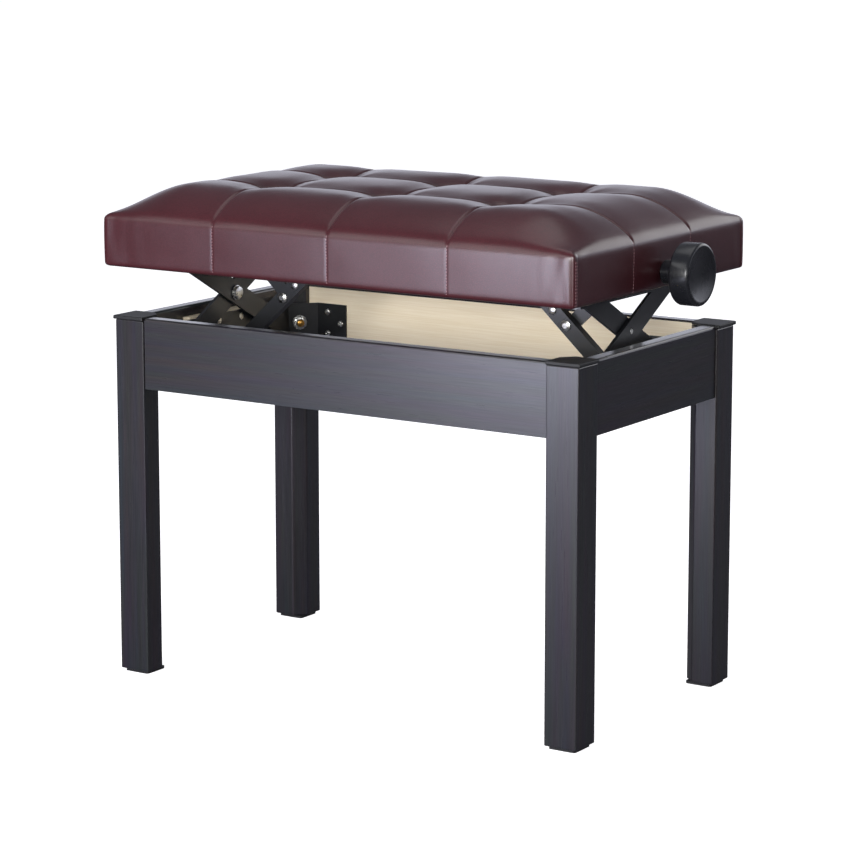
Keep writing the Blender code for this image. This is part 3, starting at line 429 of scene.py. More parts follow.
NODE_LOOKS = {
    "leg_cap_": "cap_plastic", "foot_glide_": "cap_plastic", "leg_": "leg_wood",
    "apron_front": "front_wood", "apron_back": "back_wood",
    "apron_left": "left_wood", "apron_right": "right_wood",
    "rail_cleat_": "cross_birch", "corner_bracket_": "coated_steel", "hanger_bolt_": "yellow_zinc",
    "base_rail_": "coated_steel", "seat_rail_": "coated_steel", "scissor_bolt_": "bright_zinc",
    "scissor_": "coated_steel", "drive_arm_": "coated_steel", "drive_link_": "coated_steel",
    "drive_foot_": "coated_steel", "foot_pin_": "bright_zinc", "link_pin_": "bright_zinc",
    "screw_nut_": "bright_zinc", "lead_screw": "bright_zinc", "screw_bush_": "nylon",
    "height_knob": "knob_plastic", "seat_frame_front": "long_birch", "seat_frame_back": "long_birch",
    "seat_frame_": "cross_birch", "seat_board": "long_birch",
    "seat_cover": "leather", "seat_cushion": "leather",
}


def dress_frame():
    """Give every frame node the finish of the real piece."""
    for name, node in NODES.items():
        start = next(key for key in NODE_LOOKS if name.startswith(key))
        node.data.materials.clear()
        node.data.materials.append(LOOKS[NODE_LOOKS[start]])


dress_frame()


# ---------------- leather seat
def smooth(value, start, end):
    """0 before start, 1 after end, and a smooth step between."""
    share = min(1.0, max(0.0, (value - start) / (end - start)))
    return share * share * (3 - 2 * share)


def stations(half, seams, coarse=6 * MM):
    """Where the seat's grid is cut across one direction: close at seams and edges, coarse between."""
    at_seam = [0, 1.2 * MM, 2.8 * MM, 5.5 * MM]
    at_edge = [1.3 * MM, 2.8 * MM, 4.6 * MM, 6.6 * MM, 8.4 * MM, 11 * MM]
    fixed = [seam + sign * gap for seam in seams for sign in (-1, 1) for gap in at_seam]
    fixed += [sign * (half - gap) for sign in (-1, 1) for gap in at_edge]
    fixed = sorted(set(fixed))
    cuts = list(fixed)
    for low, high in zip(fixed, fixed[1:]):
        count = round((high - low) / coarse)
        cuts += [low + (high - low) * i / count for i in range(1, count)]
    return sorted(cuts)


def seam_gap(x, y):
    """Distance to the nearest seam in x, to the nearest in y, and to the nearest button."""
    to_x = min(abs(x - seam) for seam in SEAM_XS)
    to_y = min(abs(y - seam) for seam in SEAM_YS)
    return to_x, to_y, math.hypot(to_x, to_y)


def roll(gap, reach):
    """How far the top has climbed at a distance in from its edge: steep at first, then level."""
    return 1 - (1 - min(1.0, max(0.0, gap / reach))) ** ROLL_POWER


def valley(across, along, dimple_reach, half):
    """Depth of a seam's valley: full between the buttons, and fading out towards the seat's edge."""
    past = smooth(abs(along), dimple_reach, half - FADE_MARGIN)
    return VALLEY_DEPTH * (1 - (1 - EDGE_FADE) * past) * math.exp(-(across / VALLEY_WIDTH) ** 2)


def top_height(x, y):
    """Height of the padded top above its edge: a rolled rim, valleys along seams, pulls at buttons."""
    to_x, to_y, to_dimple = seam_gap(x, y)
    rise = CROWN_RISE * roll(SEAT_HALF_LENGTH - abs(x), LONG_ROLL)
    rise *= roll(SEAT_HALF_WIDTH - abs(y), CROSS_ROLL)
    valleys = (valley(to_x, y, SEAM_YS[-1], SEAT_HALF_WIDTH),
               valley(to_y, x, SEAM_XS[-1], SEAT_HALF_LENGTH))
    pull = PULL_DEPTH * math.exp(-(to_dimple / PULL_WIDTH) ** 2)
    return rise - max(valleys) - CROSSING_SHARE * min(valleys) - pull


def inside_distance(x, y):
    """Distance in from the seat's round-cornered outline, and the outline's outward direction."""
    over = Vector((abs(x) - SEAT_HALF_LENGTH + CORNER_RADIUS, abs(y) - SEAT_HALF_WIDTH + CORNER_RADIUS))
    past = Vector((max(over.x, 0), max(over.y, 0)))
    distance = CORNER_RADIUS - past.length - min(max(over.x, over.y), 0)
    if past.length < TINY:
        past = Vector((1, 0)) if over.x > over.y else Vector((0, 1))
    past.normalize()
    return distance, Vector((math.copysign(past.x, x), math.copysign(past.y, y), 0))


def round_seat(point):
    """Carry a point of the plain box onto the seat with its edges rounded and its top crowned."""
    x, y, z = point
    core = Vector((SEAT_HALF_LENGTH - CORNER_RADIUS, SEAT_HALF_WIDTH - CORNER_RADIUS))
    off = Vector((max(abs(x) - core.x, 0), max(abs(y) - core.y, 0)))
    if off.x > 0 and off.y > 0:
        off = off.normalized() * max(off.x, off.y)
        x = math.copysign(core.x + off.x, x)
        y = math.copysign(core.y + off.y, y)
    inset, outward = inside_distance(x, y)
    for radius, level, sign in ((TOP_RADIUS, SEAT_EDGE, 1), (BOTTOM_RADIUS, SEAT_BOTTOM, -1)):
        depth = sign * (level - z)
        if inset < radius and depth < radius:
            bend = Vector((radius - inset, radius - depth))
            bend *= radius / bend.length
            x += outward.x * (inset - radius + bend.x)
            y += outward.y * (inset - radius + bend.x)
            z = level - sign * (radius - bend.y)
    lift = smooth(z, SEAT_EDGE - TOP_RADIUS, SEAT_EDGE - 0.5 * MM)
    return Vector((x, y, z + lift * top_height(x, y)))


def seat_grid():
    """The seat's outer shape, a box cut along every seam and then rounded."""
    piece = box((-SEAT_HALF_LENGTH, -SEAT_HALF_WIDTH, SEAT_BOTTOM),
                (SEAT_HALF_LENGTH, SEAT_HALF_WIDTH, SEAT_EDGE))
    mesh = bmesh.new()
    mesh.from_mesh(piece.data)
    above_bottom = [1.6 * MM, 3.2 * MM, 5 * MM]
    below_edge = [1.4 * MM, 3 * MM, 5 * MM, 8 * MM, 12 * MM]
    rises = [SEAT_BOTTOM + gap for gap in above_bottom]
    rises += [SEAT_EDGE - gap for gap in below_edge]
    between = SEAT_EDGE - SEAT_BOTTOM - 16 * MM
    rises += [SEAT_BOTTOM + above_bottom[-1] + between * i / 7 for i in range(1, 7)]
    directions = ((Vector((1, 0, 0)), stations(SEAT_HALF_LENGTH, SEAM_XS)),
                  (Vector((0, 1, 0)), stations(SEAT_HALF_WIDTH, SEAM_YS)),
                  (Vector((0, 0, 1)), rises))
    for normal, cuts in directions:
        for place in cuts:
            geometry = mesh.verts[:] + mesh.edges[:] + mesh.faces[:]
            bmesh.ops.bisect_plane(mesh, geom=geometry, plane_co=normal * place, plane_no=normal, dist=TINY)
    for vert in mesh.verts:
        vert.co = round_seat(vert.co)
    mesh.to_mesh(piece.data)
    mesh.free()
    return piece


def inflate(piece):
    """Blow the leather up with cloth, held at the seams, the dimples and the wooden sides."""
    before = [vert.co.copy() for vert in piece.data.vertices]
    hold = piece.vertex_groups.new(name="hold")
    at_side = (BOARD_TOP - 6 * MM, BOARD_TOP + 30 * MM)
    at_button, at_seam, seam_hold = (5 * MM, 14 * MM), (1 * MM, 4 * MM), 0.9
    for vert in piece.data.vertices:
        to_x, to_y, to_dimple = seam_gap(vert.co.x, vert.co.y)
        weight = 1 - smooth(vert.co.z, *at_side)
        weight = max(weight, 1 - smooth(to_dimple, *at_button))
        weight = max(weight, seam_hold * (1 - smooth(min(to_x, to_y), *at_seam)))
        hold.add([vert.index], weight, "REPLACE")
    pick(piece)
    cloth = piece.modifiers.new("cloth", "CLOTH")
    cloth.settings.effector_weights.gravity = 0
    cloth.settings.use_pressure = True
    cloth.settings.uniform_pressure_force = PRESSURE
    cloth.settings.vertex_group_mass = "hold"
    cloth.settings.pin_stiffness = 1.0
    cloth.settings.quality = 5
    cloth.collision_settings.use_collision = False
    for step in range(1, LAST_FRAME + 1):
        bpy.context.scene.frame_set(step)
    bpy.ops.object.modifier_apply(modifier="cloth")
    bpy.context.scene.frame_set(1)
    for vert, start in zip(piece.data.vertices, before):
        move = vert.co - start
        if move.length > 1e-9:
            vert.co = start + move.normalized() * LARGEST_PUFF * math.tanh(move.length / LARGEST_PUFF)


def sew(piece):
    """Draw the seams, dimples, corner strips and small puckers into the smooth leather."""
    mesh = piece.data
    normals = [normal.vector.copy() for normal in mesh.vertex_normals]
    for vert, normal in zip(mesh.vertices, normals):
        x, y, z = vert.co
        if z < SEAT_BOTTOM + 1 * MM:
            continue
        to_x, to_y, to_dimple = seam_gap(x, y)
        on_top = smooth(normal.z, 0.25, 0.8)
        on_long = smooth(abs(normal.y), 0.5, 0.85)
        on_end = smooth(abs(normal.x), 0.5, 0.85)
        groove = max(math.exp(-(to_x / SEAM_WIDTH) ** 2) * max(on_top, SIDE_SEAM * on_long),
                     math.exp(-(to_y / SEAM_WIDTH) ** 2) * max(on_top, SIDE_SEAM * on_end))
        depth = SEAM_DEPTH * groove
        depth += DIMPLE_DEPTH * on_top * math.exp(-(to_dimple / DIMPLE_WIDTH) ** 2)
        turn = math.atan2(min(abs(y - s) for s in SEAM_YS), to_x)
        folds = math.sin(6 * turn + 2 * noise.noise(Vector((x, y, 0)) * 25))
        depth += FOLD_DEPTH * on_top * folds * math.exp(-((to_dimple - FOLD_RING) / FOLD_WIDTH) ** 2)
        corner_x = SEAT_HALF_LENGTH - abs(x)
        corner_y = SEAT_HALF_WIDTH - abs(y)
        on_side = 1 - on_top
        depth += CORNER_GROOVE * on_side * math.exp(-((corner_x + corner_y) / (2.6 * MM)) ** 2)
        strip = (1 - smooth(corner_y, *STRIP_EDGE)) * on_end
        depth -= STRIP_RISE * strip * on_side
        near = math.exp(-(corner_x / (34 * MM)) ** 2) * on_long
        near += math.exp(-(corner_y / (26 * MM)) ** 2) * on_end
        pucker = noise.noise(Vector((x * 70, y * 70, z * 22))) * PUCKER_DEPTH
        depth += pucker * near * on_side * smooth(min(corner_x + corner_y, 1), 3 * MM, 14 * MM)
        height = (z - SEAT_BOTTOM) / (SEAT_EDGE - SEAT_BOTTOM)
        belly = 4 * height * (1 - height)
        depth -= BELLY_RISE * belly * on_side * (1 - math.exp(-(min(to_x, to_y) / (18 * MM)) ** 2))
        soft = noise.noise(Vector((x, y, z)) * 14) * DRIFT
        vert.co -= normal * (depth + soft * smooth(z, SEAT_BOTTOM + 6 * MM, BOARD_TOP))


def hollow(piece):
    """Open the seat from below, so that the leather wraps the wooden sides and turns under them."""
    wall_x = SEAT_HALF_LENGTH - SKIN
    wall_y = SEAT_HALF_WIDTH - SKIN
    cut(piece, box((-wall_x, -wall_y, SEAT_BOTTOM + SKIN), (wall_x, wall_y, BOARD_TOP + 0.3 * MM)))
    lip_x = SEAT_HALF_LENGTH - LIP
    lip_y = SEAT_HALF_WIDTH - LIP
    cut(piece, box((-lip_x, -lip_y, SEAT_BOTTOM - LIP), (lip_x, lip_y, SEAT_BOTTOM + 2 * SKIN)))
    shaft = cylinder(SHAFT_HOLE, wall_x - LIP, SEAT_HALF_LENGTH + LIP)
    shaft.data.transform(facing((0, 0, SCREW_AXIS_Z), (1, 0, 0)))
    cut(piece, shaft)


def build_upholstery():
    """The leather seat, centred on x = 0, and its outer surface as it was before hollowing."""
    piece = seat_grid()
    inflate(piece)
    apply_modifier(piece, "SUBSURF", {"levels": 1, "render_levels": 1})
    sew(piece)
    surface = BVHTree.FromObject(piece, bpy.context.evaluated_depsgraph_get())
    hollow(piece)
    shade(piece, 50)
    return piece, surface


def along_surface(surface, guide, pitch):
    """Places along a guide line laid onto the leather: +Z out of it and +X along the seam."""
    points = [surface.find_nearest(point)[:2] for point in guide]
    places = []
    left = 0.0
    for (here, normal), (there, _) in zip(points, points[1:]):
        step = there - here
        length = step.length
        if length < TINY:
            continue
        while left < length:
            spot = here + step * (left / length)
            along = step.normalized()
            across = normal.cross(along).normalized()
            turn = Matrix((along, across, normal)).transposed().to_4x4()
            places.append(Matrix.Translation(spot) @ turn)
            left += pitch
        left -= length
    return places


def seam_guides():
    """Lines just outside the leather that its stitching follows up the sides and onto the top's rim."""
    guides = []
    rises = [SEAT_BOTTOM + 3 * MM + (SEAT_EDGE - SEAT_BOTTOM - 12 * MM) * i / 40 for i in range(41)]
    turn = [math.radians(4.5 * i) for i in range(1, 9)]
    for half, seams, swap in ((SEAT_HALF_WIDTH, SEAM_XS, False), (SEAT_HALF_LENGTH, SEAM_YS, True)):
        for seam in seams:
            for sign in (-1, 1):
                profile = [(half + GUIDE_GAP, rise) for rise in rises]
                reach = TOP_RADIUS + GUIDE_GAP
                centre = (half - TOP_RADIUS, rises[-1])
                profile += [(centre[0] + reach * math.cos(a), centre[1] + reach * math.sin(a)) for a in turn]
                line = [Vector((seam, sign * out, rise)) for out, rise in profile]
                guides.append([Vector((p.y, p.x, p.z)) if swap else p for p in line])
    for side in SIDES.values():
        for end in ENDS.values():
            for gap in (2.6 * MM, 5.6 * MM):
                y = end * (SEAT_HALF_WIDTH - gap)
                x = side * (SEAT_HALF_LENGTH + GUIDE_GAP)
                guides.append([Vector((x, y, rise)) for rise in rises])
    return guides


def build_stitches(surface):
    """Lock stitches in bonded thread along the seams."""
    deselect()
    bpy.ops.mesh.primitive_uv_sphere_add(segments=6, ring_count=5, radius=1, scale=STITCH)
    stitch = bpy.context.object
    settle(stitch)
    pick(stitch)
    bpy.ops.object.shade_smooth()
    places = [place for guide in seam_guides() for place in along_surface(surface, guide, STITCH_PITCH)]
    return repeat(stitch, places)


def build_buttons(surface):
    """Leather-covered buttons pulled down into the dimples."""
    profile = [(0, 0), (5.5, 0), (7.4, 0.5), (8, 1.5), (7.6, 2.5), (6.2, 3.5), (3.6, 4.3), (0, 4.6)]
    button = turn_profile([(radius * MM, height * MM) for radius, height in profile], 32)
    shade(button, 60)
    places = []
    for x in SEAM_XS:
        for y in SEAM_YS:
            spot = surface.find_nearest(Vector((x, y, SEAT_EDGE)))[0]
            places.append(Matrix.Translation((x, y, spot.z - BUTTON_SUNK)))
    return repeat(button, places)


upholstery, leather_surface = build_upholstery()
stitches = build_stitches(leather_surface)
buttons = build_buttons(leather_surface)
for seat_piece in (upholstery, stitches, buttons):
    seat_piece.data.transform(Matrix.Translation((CENTRE_X, 0, 0)))
hand_over(upholstery, "seat_upholstery", "seat", "leather", ("seat_cushion", "seat_cover"))
hand_over(stitches, "seam_stitches", "seat", "leather", look="thread")
hand_over(buttons, "seat_buttons", "seat", "leather")

# ---------------- screws, nuts and rivets
BRACKET_SHEET = 2 * MM
NUT_FLATS = 13 * MM
HANGER_RADIUS = 4 * MM
HANGER_PROUD = 3 * MM
HANGER_NUT_DEPTH = 6.8 * MM              # plate to the nut's outer face, its washer included
HANGER_PITCH = 1.25 * MM                 # of the M8 thread
HANGER_GROOVE = 0.65 * MM
BOLT_HEAD = 4 * MM                       # height of a scissor bolt's flanged head
SCREW_RADIUS = 5 * MM
SCREW_PITCH = 3 * MM
SCREW_GROOVE = 0.9 * MM
SCREW_PLAIN = 12 * MM                    # half the length left plain between the two threads
COLLAR_RADIUS = 8 * MM
FOOT_SHEET = 2.5 * MM
RAIL_SHEET = 3 * MM
BRACKET_SCREWS = ((7 * MM, 0), (24 * MM, -12 * MM), (24 * MM, 12 * MM))  # in from an end, and up
FOOT_RIVETS = [(x * MM, y * MM) for x in (-10, 10) for y in (-13, 13)]
RAIL_SCREW_YS = (-55 * MM, -20 * MM, 20 * MM, 55 * MM)
RAIL_SCREW_DOWN = 7 * MM                 # from the rail's top
SEAT_SCREW_YS = (-80 * MM, -40 * MM, 40 * MM, 80 * MM)
SEAT_SCREW_IN = 13 * MM                  # from the seat rail's inner edge
PAST_PIN = 21                            # mm from a link's pin to the arm's second rivet
STAPLE_PITCHES = (37 * MM, 40 * MM)      # along the front and back, and along the ends
STAPLE_OUT = 1.6 * MM                    # from the leather's turned edge


def reach_along(name, direction):
    """Lowest and highest place of a frame node along a direction."""
    along = [vert.co.dot(direction) for vert in NODES[name].data.vertices]
    return min(along), max(along)


def hexagon(flats, low, high):
    """A hexagonal head or nut with its corners turned off at both ends."""
    corner = flats / math.sqrt(3)
    slack, bevel = 0.1 * MM, 0.7 * MM
    flat = flats / 2 - slack
    piece = cylinder(corner, low, high, 6)
    turned = turn_profile([(0, low), (flat, low), (corner + slack, low + bevel),
                           (corner + slack, high - bevel), (flat, high), (0, high)], 48)
    apply_modifier(piece, "BOOLEAN", {"operation": "INTERSECT", "object": turned, "solver": "EXACT"})
    bpy.data.objects.remove(turned)
    return piece


def cross_head(radius, height):
    """A pan head with a cross recess; its underside is at height 0."""
    head = turn_profile([(0, 0), (radius, 0), (radius, 0.3 * height), (0.93 * radius, 0.6 * height),
                         (0.75 * radius, 0.85 * height), (0.45 * radius, 0.97 * height), (0, height)], 24)
    wide, narrow = 0.62 * radius, 0.13 * radius
    for x, y in ((wide, narrow), (narrow, wide)):
        cut(head, box((-x, -y, 0.3 * height), (x, y, 2 * height)))
    return head


def rivet_head(radius, height):
    """A low domed rivet head with a turned rim; its underside is at height 0."""
    arc = [(radius * math.cos(math.radians(a)), height * (0.25 + 0.75 * math.sin(math.radians(a))))
           for a in range(0, 90, 15)]
    return turn_profile([(0, 0), (radius, 0)] + arc + [(0, height)], 32)


def cut_thread(piece, crest, depth, pitch, spans):
    """Sink a helical groove into a turned rod: each span is (low, high, hand) along Z."""
    for vert in piece.data.vertices:
        radius = math.hypot(vert.co.x, vert.co.y)
        for low, high, hand in spans:
            if low < vert.co.z < high and crest / 2 < radius < crest + 0.1 * MM:
                turn = math.atan2(vert.co.y, vert.co.x) / (2 * math.pi)
                groove = abs(((vert.co.z / pitch - hand * turn) % 1) * 2 - 1)
                fade = min(1, (vert.co.z - low) / pitch, (high - vert.co.z) / pitch)
                share = 1 - depth * groove * fade / crest
                vert.co.x *= share
                vert.co.y *= share


def rows(radius, low, high, pitch):
    """Profile points along a threaded stretch, eight to a turn of thread."""
    count = round((high - low) / pitch * 8)
    return [(radius, low + (high - low) * i / count) for i in range(count + 1)]


def bracket_screws():
    """Pan-head wood screws through both flanges of each corner bracket, three to a flange."""
    places = []
    for corner, (side, end) in CORNERS.items():
        low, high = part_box("corner_bracket_" + corner)
        outer = Vector((high.x if side > 0 else low.x, high.y if end > 0 else low.y))
        inner = Vector((low.x if side > 0 else high.x, low.y if end > 0 else high.y))
        for from_end, rise in BRACKET_SCREWS:
            z = (low.z + high.z) / 2 + rise
            spot = (inner.x + side * from_end, outer.y - end * BRACKET_SHEET, z)
            places.append(facing(spot, (0, -end, 0)))
            spot = (outer.x - side * BRACKET_SHEET, inner.y + end * from_end, z)
            places.append(facing(spot, (-side, 0, 0)))
    return repeat(cross_head(3.6 * MM, 2 * MM), places)


def hanger_places():
    """Where each hanger bolt leaves its bracket's plate, with +Z inwards along the bolt."""
    places = []
    for corner, (side, end) in CORNERS.items():
        name = "hanger_bolt_" + corner
        outwards = Vector((side, end, 0)).normalized()
        across = Vector((-end, side, 0)).normalized()
        inner = reach_along(name, outwards)[0] + HANGER_PROUD + HANGER_NUT_DEPTH
        sideways = sum(reach_along(name, across)) / 2
        spot = outwards * inner + across * sideways + Vector((0, 0, middle(name).z))
        places.append(facing(spot, -outwards))
    return places


def hanger_bolts():
    """Hanger bolts with a rolled M8 thread, pointed where they enter the leg."""
    low, high = reach_along("hanger_bolt_front_left", Vector((-1, -1, 0)).normalized())
    top = HANGER_PROUD + HANGER_NUT_DEPTH
    tip = top - (high - low)
    first, last = tip + 4 * MM, top - 0.6 * MM
    profile = [(0, tip), (1.5 * MM, tip)] + rows(HANGER_RADIUS, first, last, HANGER_PITCH)
    bolt = turn_profile(profile + [(HANGER_RADIUS - 0.7 * MM, top), (0, top)], 20)
    cut_thread(bolt, HANGER_RADIUS, HANGER_GROOVE, HANGER_PITCH, [(first, last, 1)])
    shade(bolt, 50)
    return repeat(bolt, hanger_places())


def hanger_nuts():
    """Chamfered M8 nuts, each on a washer."""
    rim = [(7.8 * MM, 0.3 * MM), (8 * MM, 0.5 * MM), (8 * MM, 1.5 * MM), (7.8 * MM, 1.7 * MM)]
    bore = [(HANGER_RADIUS, 1.7 * MM), (HANGER_RADIUS, 0.3 * MM)]
    washer = turn_profile([bore[-1]] + rim + bore, 48)
    nut = hexagon(NUT_FLATS, 1.8 * MM, HANGER_NUT_DEPTH)
    cut(nut, cylinder(HANGER_RADIUS, 0, 2 * HANGER_NUT_DEPTH, 40))
    both = join([nut, washer])
    shade(both)
    return repeat(both, hanger_places())


def scissor_bolt(name, side):
    """The flanged hexagon bolt through the crossing of two scissor bars."""
    low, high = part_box(name)
    inner, outer = (low.x, high.x) if side > 0 else (high.x, low.x)
    length = abs(outer - inner)
    shaft = max(math.hypot(v.co.y, v.co.z - middle(name).z) for v in NODES[name].data.vertices
                if abs(v.co.x - outer) < 1 * MM)
    under = length - BOLT_HEAD
    bolt = turn_profile([(0, 0), (shaft - 0.5 * MM, 0), (shaft, 0.5 * MM), (shaft, under),
                         (7.8 * MM, under), (8.1 * MM, under + 0.3 * MM), (8.1 * MM, under + 0.8 * MM),
                         (6.4 * MM, under + 1.4 * MM), (0, under + 1.4 * MM)], 48)
    top = join([bolt, hexagon(NUT_FLATS, under + 1.45 * MM, length)])
    shade(top)
    top.data.transform(facing((outer, 0, middle(name).z), (-side, 0, 0)))
    return top


def arm_rivet(side_name):
    """The drive arm's second rivet, a little past its link's pin."""
    foot, pin = middle("foot_pin_" + side_name), middle("link_pin_" + side_name)
    along = Vector((pin.x - foot.x, 0, pin.z - foot.z)).normalized()
    spot = Vector((pin.x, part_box("drive_arm_" + side_name)[0].y, pin.z)) + along * PAST_PIN * MM
    rivet = rivet_head(4.6 * MM, 1.8 * MM)
    shade(rivet)
    rivet.data.transform(facing(spot, (0, -1, 0)))
    return rivet


def foot_rivets():
    """Rivets that hold the clevises down on the base rails."""
    places = []
    for side_name in SIDES:
        low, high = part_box("drive_foot_" + side_name)
        for x, y in FOOT_RIVETS:
            places.append(Matrix.Translation(((low.x + high.x) / 2 + x, y, low.z + FOOT_SHEET)))
    rivet = rivet_head(2.6 * MM, 1.2 * MM)
    shade(rivet)
    return repeat(rivet, places)


def rail_screws():
    """Countersunk wood screws that hold the base rails to their cleats."""
    places = []
    for side_name, side in SIDES.items():
        low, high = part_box("base_rail_" + side_name)
        web = high.x - RAIL_SHEET if side > 0 else low.x + RAIL_SHEET
        for y in RAIL_SCREW_YS:
            places.append(facing((web, y, high.z - RAIL_SCREW_DOWN), (-side, 0, 0)))
    return repeat(cross_head(4 * MM, 0.3 * MM), places)


def seat_screws():
    """Pan-head screws up through the seat rails into the board."""
    places = []
    for side_name, side in SIDES.items():
        low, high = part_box("seat_rail_" + side_name)
        inner = low.x if side > 0 else high.x
        for y in SEAT_SCREW_YS:
            spot = (inner + side * SEAT_SCREW_IN, y, high.z - RAIL_SHEET)
            places.append(facing(spot, (0, 0, -1)))
    return repeat(cross_head(3.8 * MM, 2 * MM), places)


def lead_screw():
    """The screw under the seat: right-handed on one half, left-handed on the other, with two collars."""
    low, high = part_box("lead_screw")
    spot = middle("lead_screw")
    collars = sorted(v.co.x for v in NODES["lead_screw"].data.vertices
                     if math.hypot(v.co.y - spot.y, v.co.z - spot.z) > (SCREW_RADIUS + COLLAR_RADIUS) / 2)
    left = [x for x in collars if x < CENTRE_X]
    right = [x for x in collars if x > CENTRE_X]
    bevel = 0.8 * MM
    profile = [(0, low.x), (SCREW_RADIUS - bevel, low.x), (SCREW_RADIUS, low.x + bevel),
               (SCREW_RADIUS, left[0]), (COLLAR_RADIUS, left[0]), (COLLAR_RADIUS, left[-1])]
    profile += rows(SCREW_RADIUS, left[-1], right[0], SCREW_PITCH)
    profile += [(COLLAR_RADIUS, right[0]), (COLLAR_RADIUS, right[-1]), (SCREW_RADIUS, right[-1]),
                (SCREW_RADIUS, high.x - bevel), (SCREW_RADIUS - bevel, high.x), (0, high.x)]
    screw = turn_profile(profile, 20)
    spans = [(left[-1], CENTRE_X - SCREW_PLAIN, -1), (CENTRE_X + SCREW_PLAIN, right[0], 1)]
    cut_thread(screw, SCREW_RADIUS, SCREW_GROOVE, SCREW_PITCH, spans)
    shade(screw, 50)
    screw.data.transform(facing((0, spot.y, spot.z), (1, 0, 0)))
    return screw


def knob():
    """The turned height knob: a hub with a bore, and a disc with a rounded rim and a shallow dish."""
    low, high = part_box("height_knob")
    spot = middle("height_knob")
    length = high.x - low.x
    radius = (high.y - low.y) / 2
    hub, bevel, bore, bore_end = 12 * MM, 1 * MM, 5.3 * MM, 12 * MM
    disc, edge, fillet = 22 * MM, 3 * MM, 3 * MM
    back = length - disc
    turn = [math.radians(a) for a in range(0, 91, 15)]
    profile = [(0, bore_end), (bore, bore_end), (bore, 0), (hub - bevel, 0), (hub, bevel),
               (hub, back - fillet)]
    profile += [(hub + fillet * (1 - math.cos(a)), back - fillet * (1 - math.sin(a))) for a in turn[1:]]
    profile += [(radius - edge * (1 - math.sin(a)), back + edge * (1 - math.cos(a))) for a in turn]
    profile += [(radius - edge * (1 - math.cos(a)), length - edge * (1 - math.sin(a))) for a in turn]
    profile += [(radius - 5.5 * MM, length - 0.3 * MM), (radius - 7 * MM, length - 1 * MM),
                (0, length - 1.3 * MM)]
    piece = turn_profile(profile, 96)
    shade(piece, 40)
    piece.data.transform(facing((low.x, spot.y, spot.z), (1, 0, 0)))
    return piece


def lip_staples():
    """Crown staples that hold the turned-under leather."""
    deselect()
    wire = box((-5 * MM, -0.5 * MM, 0), (5 * MM, 0.5 * MM, 0.5 * MM))
    apply_modifier(wire, "BEVEL", {"width": 0.2 * MM, "segments": 2})
    places = []
    across = SEAT_HALF_WIDTH - LIP + STAPLE_OUT
    ends = SEAT_HALF_LENGTH - LIP + STAPLE_OUT
    long_pitch, end_pitch = STAPLE_PITCHES
    flip = Matrix.Rotation(math.pi, 4, "X")
    turn = flip @ Matrix.Rotation(math.pi / 2, 4, "Z")
    for sign in (-1, 1):
        for i in range(15):
            places.append(Matrix.Translation(((i - 7) * long_pitch, sign * across, SEAT_BOTTOM)) @ flip)
        for i in range(8):
            places.append(Matrix.Translation((sign * ends, (i - 3.5) * end_pitch, SEAT_BOTTOM)) @ turn)
    piece = repeat(wire, places)
    piece.data.transform(Matrix.Translation((CENTRE_X, 0, 0)))
    return piece


HANGERS = ["hanger_bolt_" + corner for corner in CORNERS]
hand_over(bracket_screws(), "bracket_screws", "frame", "bright_zinc")
hand_over(hanger_bolts(), "hanger_bolt_rods", "frame", "yellow_zinc", HANGERS)
hand_over(hanger_nuts(), "hanger_nuts", "frame", "bright_zinc", HANGERS)
hand_over(foot_rivets(), "foot_rivets", "frame", "bright_zinc")
hand_over(rail_screws(), "rail_screws", "frame", "bright_zinc")
hand_over(seat_screws(), "seat_rail_screws", "seat", "bright_zinc")
hand_over(lip_staples(), "lip_staples", "seat", "bright_zinc")
hand_over(lead_screw(), "threaded_lead_screw", "screw", "bright_zinc", ("lead_screw",))
hand_over(knob(), "turned_knob", "screw", "black_plastic", ("height_knob",), "knob_plastic")
for side_name, side in SIDES.items():
    old = "scissor_bolt_" + side_name
    hand_over(scissor_bolt(old, side), "scissor_flange_bolt_" + side_name, "scissor_inner_" + side_name,
              "bright_zinc", (old,))
    hand_over(arm_rivet(side_name), "arm_rivet_" + side_name, "drive_arm_" + side_name, "bright_zinc")

# ---------------- stage, light and camera
AIM = Vector((CENTRE_X + 9 * MM, 0, 353.6 * MM))
VIEW_AZIMUTH = math.radians(33.06)
VIEW_ELEVATION = math.radians(9.3)
VIEW_DISTANCE = 3.1246
LENS = 126.94
LENS_SHIFT = -0.1
FLOOR_SIZE = 60


def light_area(name, spot, target, size, power, colour="FFFFFF"):
    """A soft box of light aimed at a point."""
    deselect()
    bpy.ops.object.light_add(type="AREA", location=spot)
    lamp = bpy.context.object
    lamp.name = name
    lamp.data.shape = "RECTANGLE"
    lamp.data.size, lamp.data.size_y = size
    lamp.data.energy = power
    lamp.data.color = linear(colour)[:3]
    lamp.rotation_euler = (Vector(target) - Vector(spot)).to_track_quat("-Z", "Y").to_euler()


def pale_floor():
    """Seamless white paper. It looks white, but the bench reflects it as if the studio were dim."""
    material, tree, shader, place = new_material("pale_studio_floor", {
        "Roughness": 0.8, "Specular IOR Level": 0.1, "Emission Strength": 0.8})
    cloud = add(tree, "TexNoise", {"Vector": place, "Scale": per_metre(900), "Detail": 2.0})
    tone = add(tree, "Mix", {"data_type": "RGBA", 0: cloud.outputs["Fac"],
                             6: linear("F4F4F4"), 7: linear("F8F8F8")})
    link(tree, tone.outputs[2], shader, "Base Color")
    shader.inputs["Emission Color"].default_value = linear("FFFFFF")
    dim = add(tree, "BsdfDiffuse", {"Color": linear("6C6C72")})
    seen = add(tree, "LightPath", {}).outputs["Is Camera Ray"]
    mix = add(tree, "MixShader", {0: seen, 1: dim.outputs[0], 2: shader.outputs[0]})
    tree.links.new(mix.outputs[0], tree.nodes["Material Output"].inputs["Surface"])
    return material


